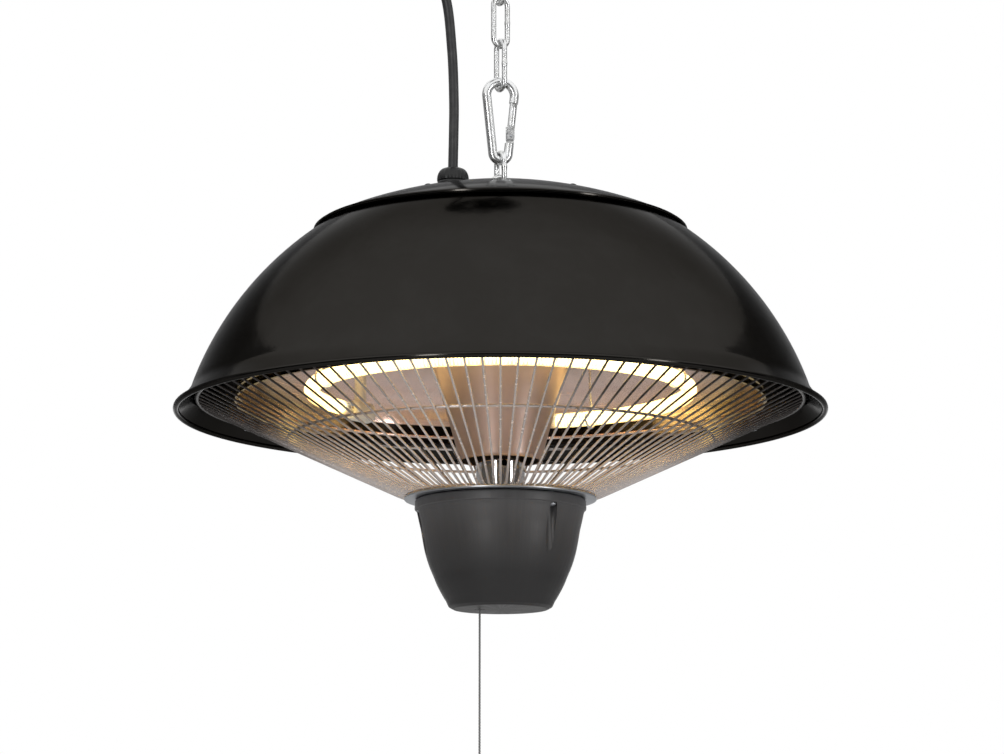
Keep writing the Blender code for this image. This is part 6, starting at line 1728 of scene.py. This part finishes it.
def strip(name, line, angle, width, thickness, finish):
    """A bent strip of sheet in the upright plane at an angle, with slightly rounded edges."""
    work = bmesh.new()
    radial = Vector((*around(1.0, angle), 0.0))
    side = Vector((*around(1.0, angle + 90), 0.0))
    shape = [(-1, -0.7), (-0.96, -1), (0.96, -1), (1, -0.7), (1, 0.7), (0.96, 1), (-0.96, 1), (-1, 0.7)]
    rings = []
    for index, point in enumerate(line):
        before, after = line[max(index - 1, 0)], line[min(index + 1, len(line) - 1)]
        flat = Vector((after[0] - before[0], after[1] - before[1])).normalized()
        out = radial * flat.y - Vector((0.0, 0.0, flat.x))
        spot = radial * point[0] + Vector((0.0, 0.0, over_rim(point[1])))
        rings.append(
            [
                work.verts.new(spot + side * across * width / 2 + out * up * thickness / 2)
                for across, up in shape
            ]
        )
    for one, two in zip(rings, rings[1:]):
        for number in range(8):
            nxt = (number + 1) % 8
            work.faces.new((one[number], one[nxt], two[nxt], two[number]))
    work.faces.new(rings[0])
    work.faces.new(rings[-1])
    mesh = bpy.data.meshes.new(name)
    work.to_mesh(mesh)
    work.free()
    mesh.materials.append(finish.material)
    obj = outward(in_scene(name, mesh))
    mesh.shade_smooth()
    mesh.set_sharp_from_angle(angle=math.radians(40))
    return obj


def inside_dome(height):
    """Radius of the dome's inner face at a height over the rim."""
    return math.sqrt((SPHERE_RADIUS - SHEET) ** 2 - (height + SPHERE_DROP) ** 2)


CLIP_SHEET = 0.0012
clip_out = RING_RADIUS + RING_WIRE / 2 + GAP + CLIP_SHEET / 2
clip_under = RING_HEIGHT - RING_WIRE / 2 - GAP - CLIP_SHEET / 2
clip_knots = [(inside_dome(h) - 0.0009, h) for h in (0.0332, 0.0300, 0.0252, 0.0205, 0.0172)]
clip_line = flat_line([*clip_knots, (clip_out + 0.0002, 0.0128), (clip_out, 0.0098)], 24)
clip_line += [(clip_out, clip_under + 0.0010)] + arc(
    (clip_out - 0.0010, clip_under + 0.0010), 0.0010, 0, -90, 7,
)[1:]
clip_line += [(clip_out - 0.0022, clip_under), (clip_out - 0.0034, clip_under)]
for index, angle in enumerate((30, 150, 270)):
    clip = strip(f"guard_clip_{index + 1}_bent", clip_line, angle, 0.010, CLIP_SHEET, STEEL)
    head = screw_head(f"clip_rivet_{index + 1}", 0.0024, 0.0012)
    lean = Vector((*around(-1.0, angle), -0.25)).normalized().to_track_quat("-Z", "Y").to_matrix().to_4x4()
    place = Vector((*around(inside_dome(0.0285) - 0.0014, angle), over_rim(0.0285)))
    head.data.transform(Matrix.Translation(place) @ lean)
    dress(
        joined(f"guard_clip_{index + 1}_fitted", [clip, head]), "heater", "satin_steel",
        f"guard_clip_{index + 1}",
    )
print("plate and 3 clips")

# %% [markdown]
# ## The switch cup
# The cup is one plastic moulding: a lip under the guard plate, a side that curves in to a flat floor,
# and three upright channels for its screws. The body is turned and hollowed. The channels are cut with
# round upright cutters, so that each leaves a half round groove that runs out of the surface where the
# cup gets narrower. A boss inside, behind each groove, keeps the wall closed there.
# %% The cup
CUP_TOP = plate_low - GAP
CUP_RADIUS, CUP_DEPTH, CUP_WALL, LIP, LIP_STEP = 0.0557, 0.0706, 0.0022, 0.0066, 0.0006
cup_knots = [
    (0.982, 0.0934), (0.973, 0.108), (0.950, 0.190), (0.925, 0.275), (0.902, 0.380), (0.874, 0.487),
    (0.830, 0.600), (0.777, 0.700), (0.738, 0.775),
    (0.695, 0.841), (0.655, 0.897), (0.618, 0.940),
]
side = flat_line([(CUP_RADIUS * out, CUP_TOP - CUP_DEPTH * down) for out, down in cup_knots], 46)
FOOT = CUP_RADIUS * cup_knots[-1][0] * 0.91
lip_low = CUP_TOP - LIP
rim_part = rounded_off([
    (0.0, CUP_TOP), (CUP_RADIUS - 0.0003, CUP_TOP, 0.0013), (CUP_RADIUS, lip_low + 0.0006, 0.0011),
    (CUP_RADIUS - LIP_STEP - 0.0004, lip_low + 0.0001), (side[0][0], side[0][1]),
])
turn_in = rounded_off(
    [
        (side[-2][0], side[-2][1]), (FOOT + 0.0022, CUP_TOP - CUP_DEPTH + 0.0016, 0.0020),
        (FOOT - 0.0008, CUP_TOP - CUP_DEPTH, 0.0012), (0.0, CUP_TOP - CUP_DEPTH),
    ],
    6,
)
cup_outline = rim_part[:-1] + side[:-1] + turn_in[1:]
cup = turned("cup_moulded", cup_outline, CUP_PLASTIC, steps=160, sharp=44)
inner = offset_line(side + [(FOOT, CUP_TOP - CUP_DEPTH), (0.0, CUP_TOP - CUP_DEPTH)], CUP_WALL)
hollow_line = [
    (0.0, CUP_TOP + 0.002), (CUP_RADIUS - CUP_WALL - 0.0006, CUP_TOP + 0.002),
    (CUP_RADIUS - CUP_WALL - 0.0006, lip_low),
] + inner[1:]
hollow = turned("cup_hollow", hollow_line, CUP_PLASTIC, steps=120)
floor_z = over_rim(CUP_TOP - CUP_DEPTH)
bosses = [
    post(f"boss_{angle}", *around(0.049, angle), 0.0068, floor_z, over_rim(CUP_TOP), CUP_PLASTIC, 40)
    for angle in screw_angles
]
hollow = cut(hollow, bosses)
channel_top = over_rim(lip_low)
CHANNEL_RADIUS = 0.0036
tools = [hollow]
for angle in screw_angles:
    x, y = around(SCREW_CIRCLE, angle)
    channel = [(0.0, channel_top), (CHANNEL_RADIUS, channel_top, 0.0004)]
    channel += [(CHANNEL_RADIUS, channel_top - 0.042, 0.0010), (0.0, channel_top - 0.042)]
    tools.append(turned(f"channel_{angle}", rounded_off(channel), CUP_PLASTIC, x, y, 0.0, 40))
    tools.append(
        post(
            f"shaft_{angle}", x, y, 0.0020, channel_top - 0.001, over_rim(CUP_TOP + 0.001), CUP_PLASTIC, 24,
        )
    )
tools.append(post("cord_hole", CORD_X, 0.0, 0.0033, floor_z - 0.001, floor_z + 0.006, CUP_PLASTIC, 32))
cup = cut(cup, tools, 44)
dress(cup, "heater", "charcoal_paint", "switch_cup")
for index, angle in enumerate(screw_angles):
    spot = (*around(SCREW_CIRCLE, angle), channel_top - GAP)
    screw = screws_at(f"cup_screw_{index + 1}_pan", [spot], 0.003, 0.002, 0.0017, 0.010, STEEL)
    dress(screw, "heater", "satin_steel", f"cup_screw_{index + 1}")
print("cup:", len(cup.data.polygons), "faces, floor at", round(floor_z, 5))

# %% [markdown]
# ## Inside the cup
# The pull switch stands on the cup's floor. Its two ears carry the arm that the cord tugs. A flanged bush
# lines the cord's hole in the floor. Switch and arm keep the frame's own shapes, which are right as they
# are, and take a finish; the bush is made again with round edges.
# %% Switch, arm and bush
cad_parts["switch_body"].data.materials.clear()
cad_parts["switch_body"].data.materials.append(PLASTIC.material)
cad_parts["switch_arm"].data.materials.clear()
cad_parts["switch_arm"].data.materials.append(STEEL.material)
seat = CUP_WALL + GAP
bush = [
    (0.0011, 0.0, 0.0005), (0.003, 0.0, 0.0004), (0.003, seat), (0.0045, seat, 0.0003),
    (0.0045, seat + 0.0012, 0.0004),
    (0.0011, seat + 0.0012, 0.0004),
]
dress(
    turned("cord_bush_turned", rounded_off(bush), PLASTIC, CORD_X, 0.0, floor_z, 40), "heater",
    "black_plastic", "cord_bush",
)
print("switch kept from the frame, bush remade")
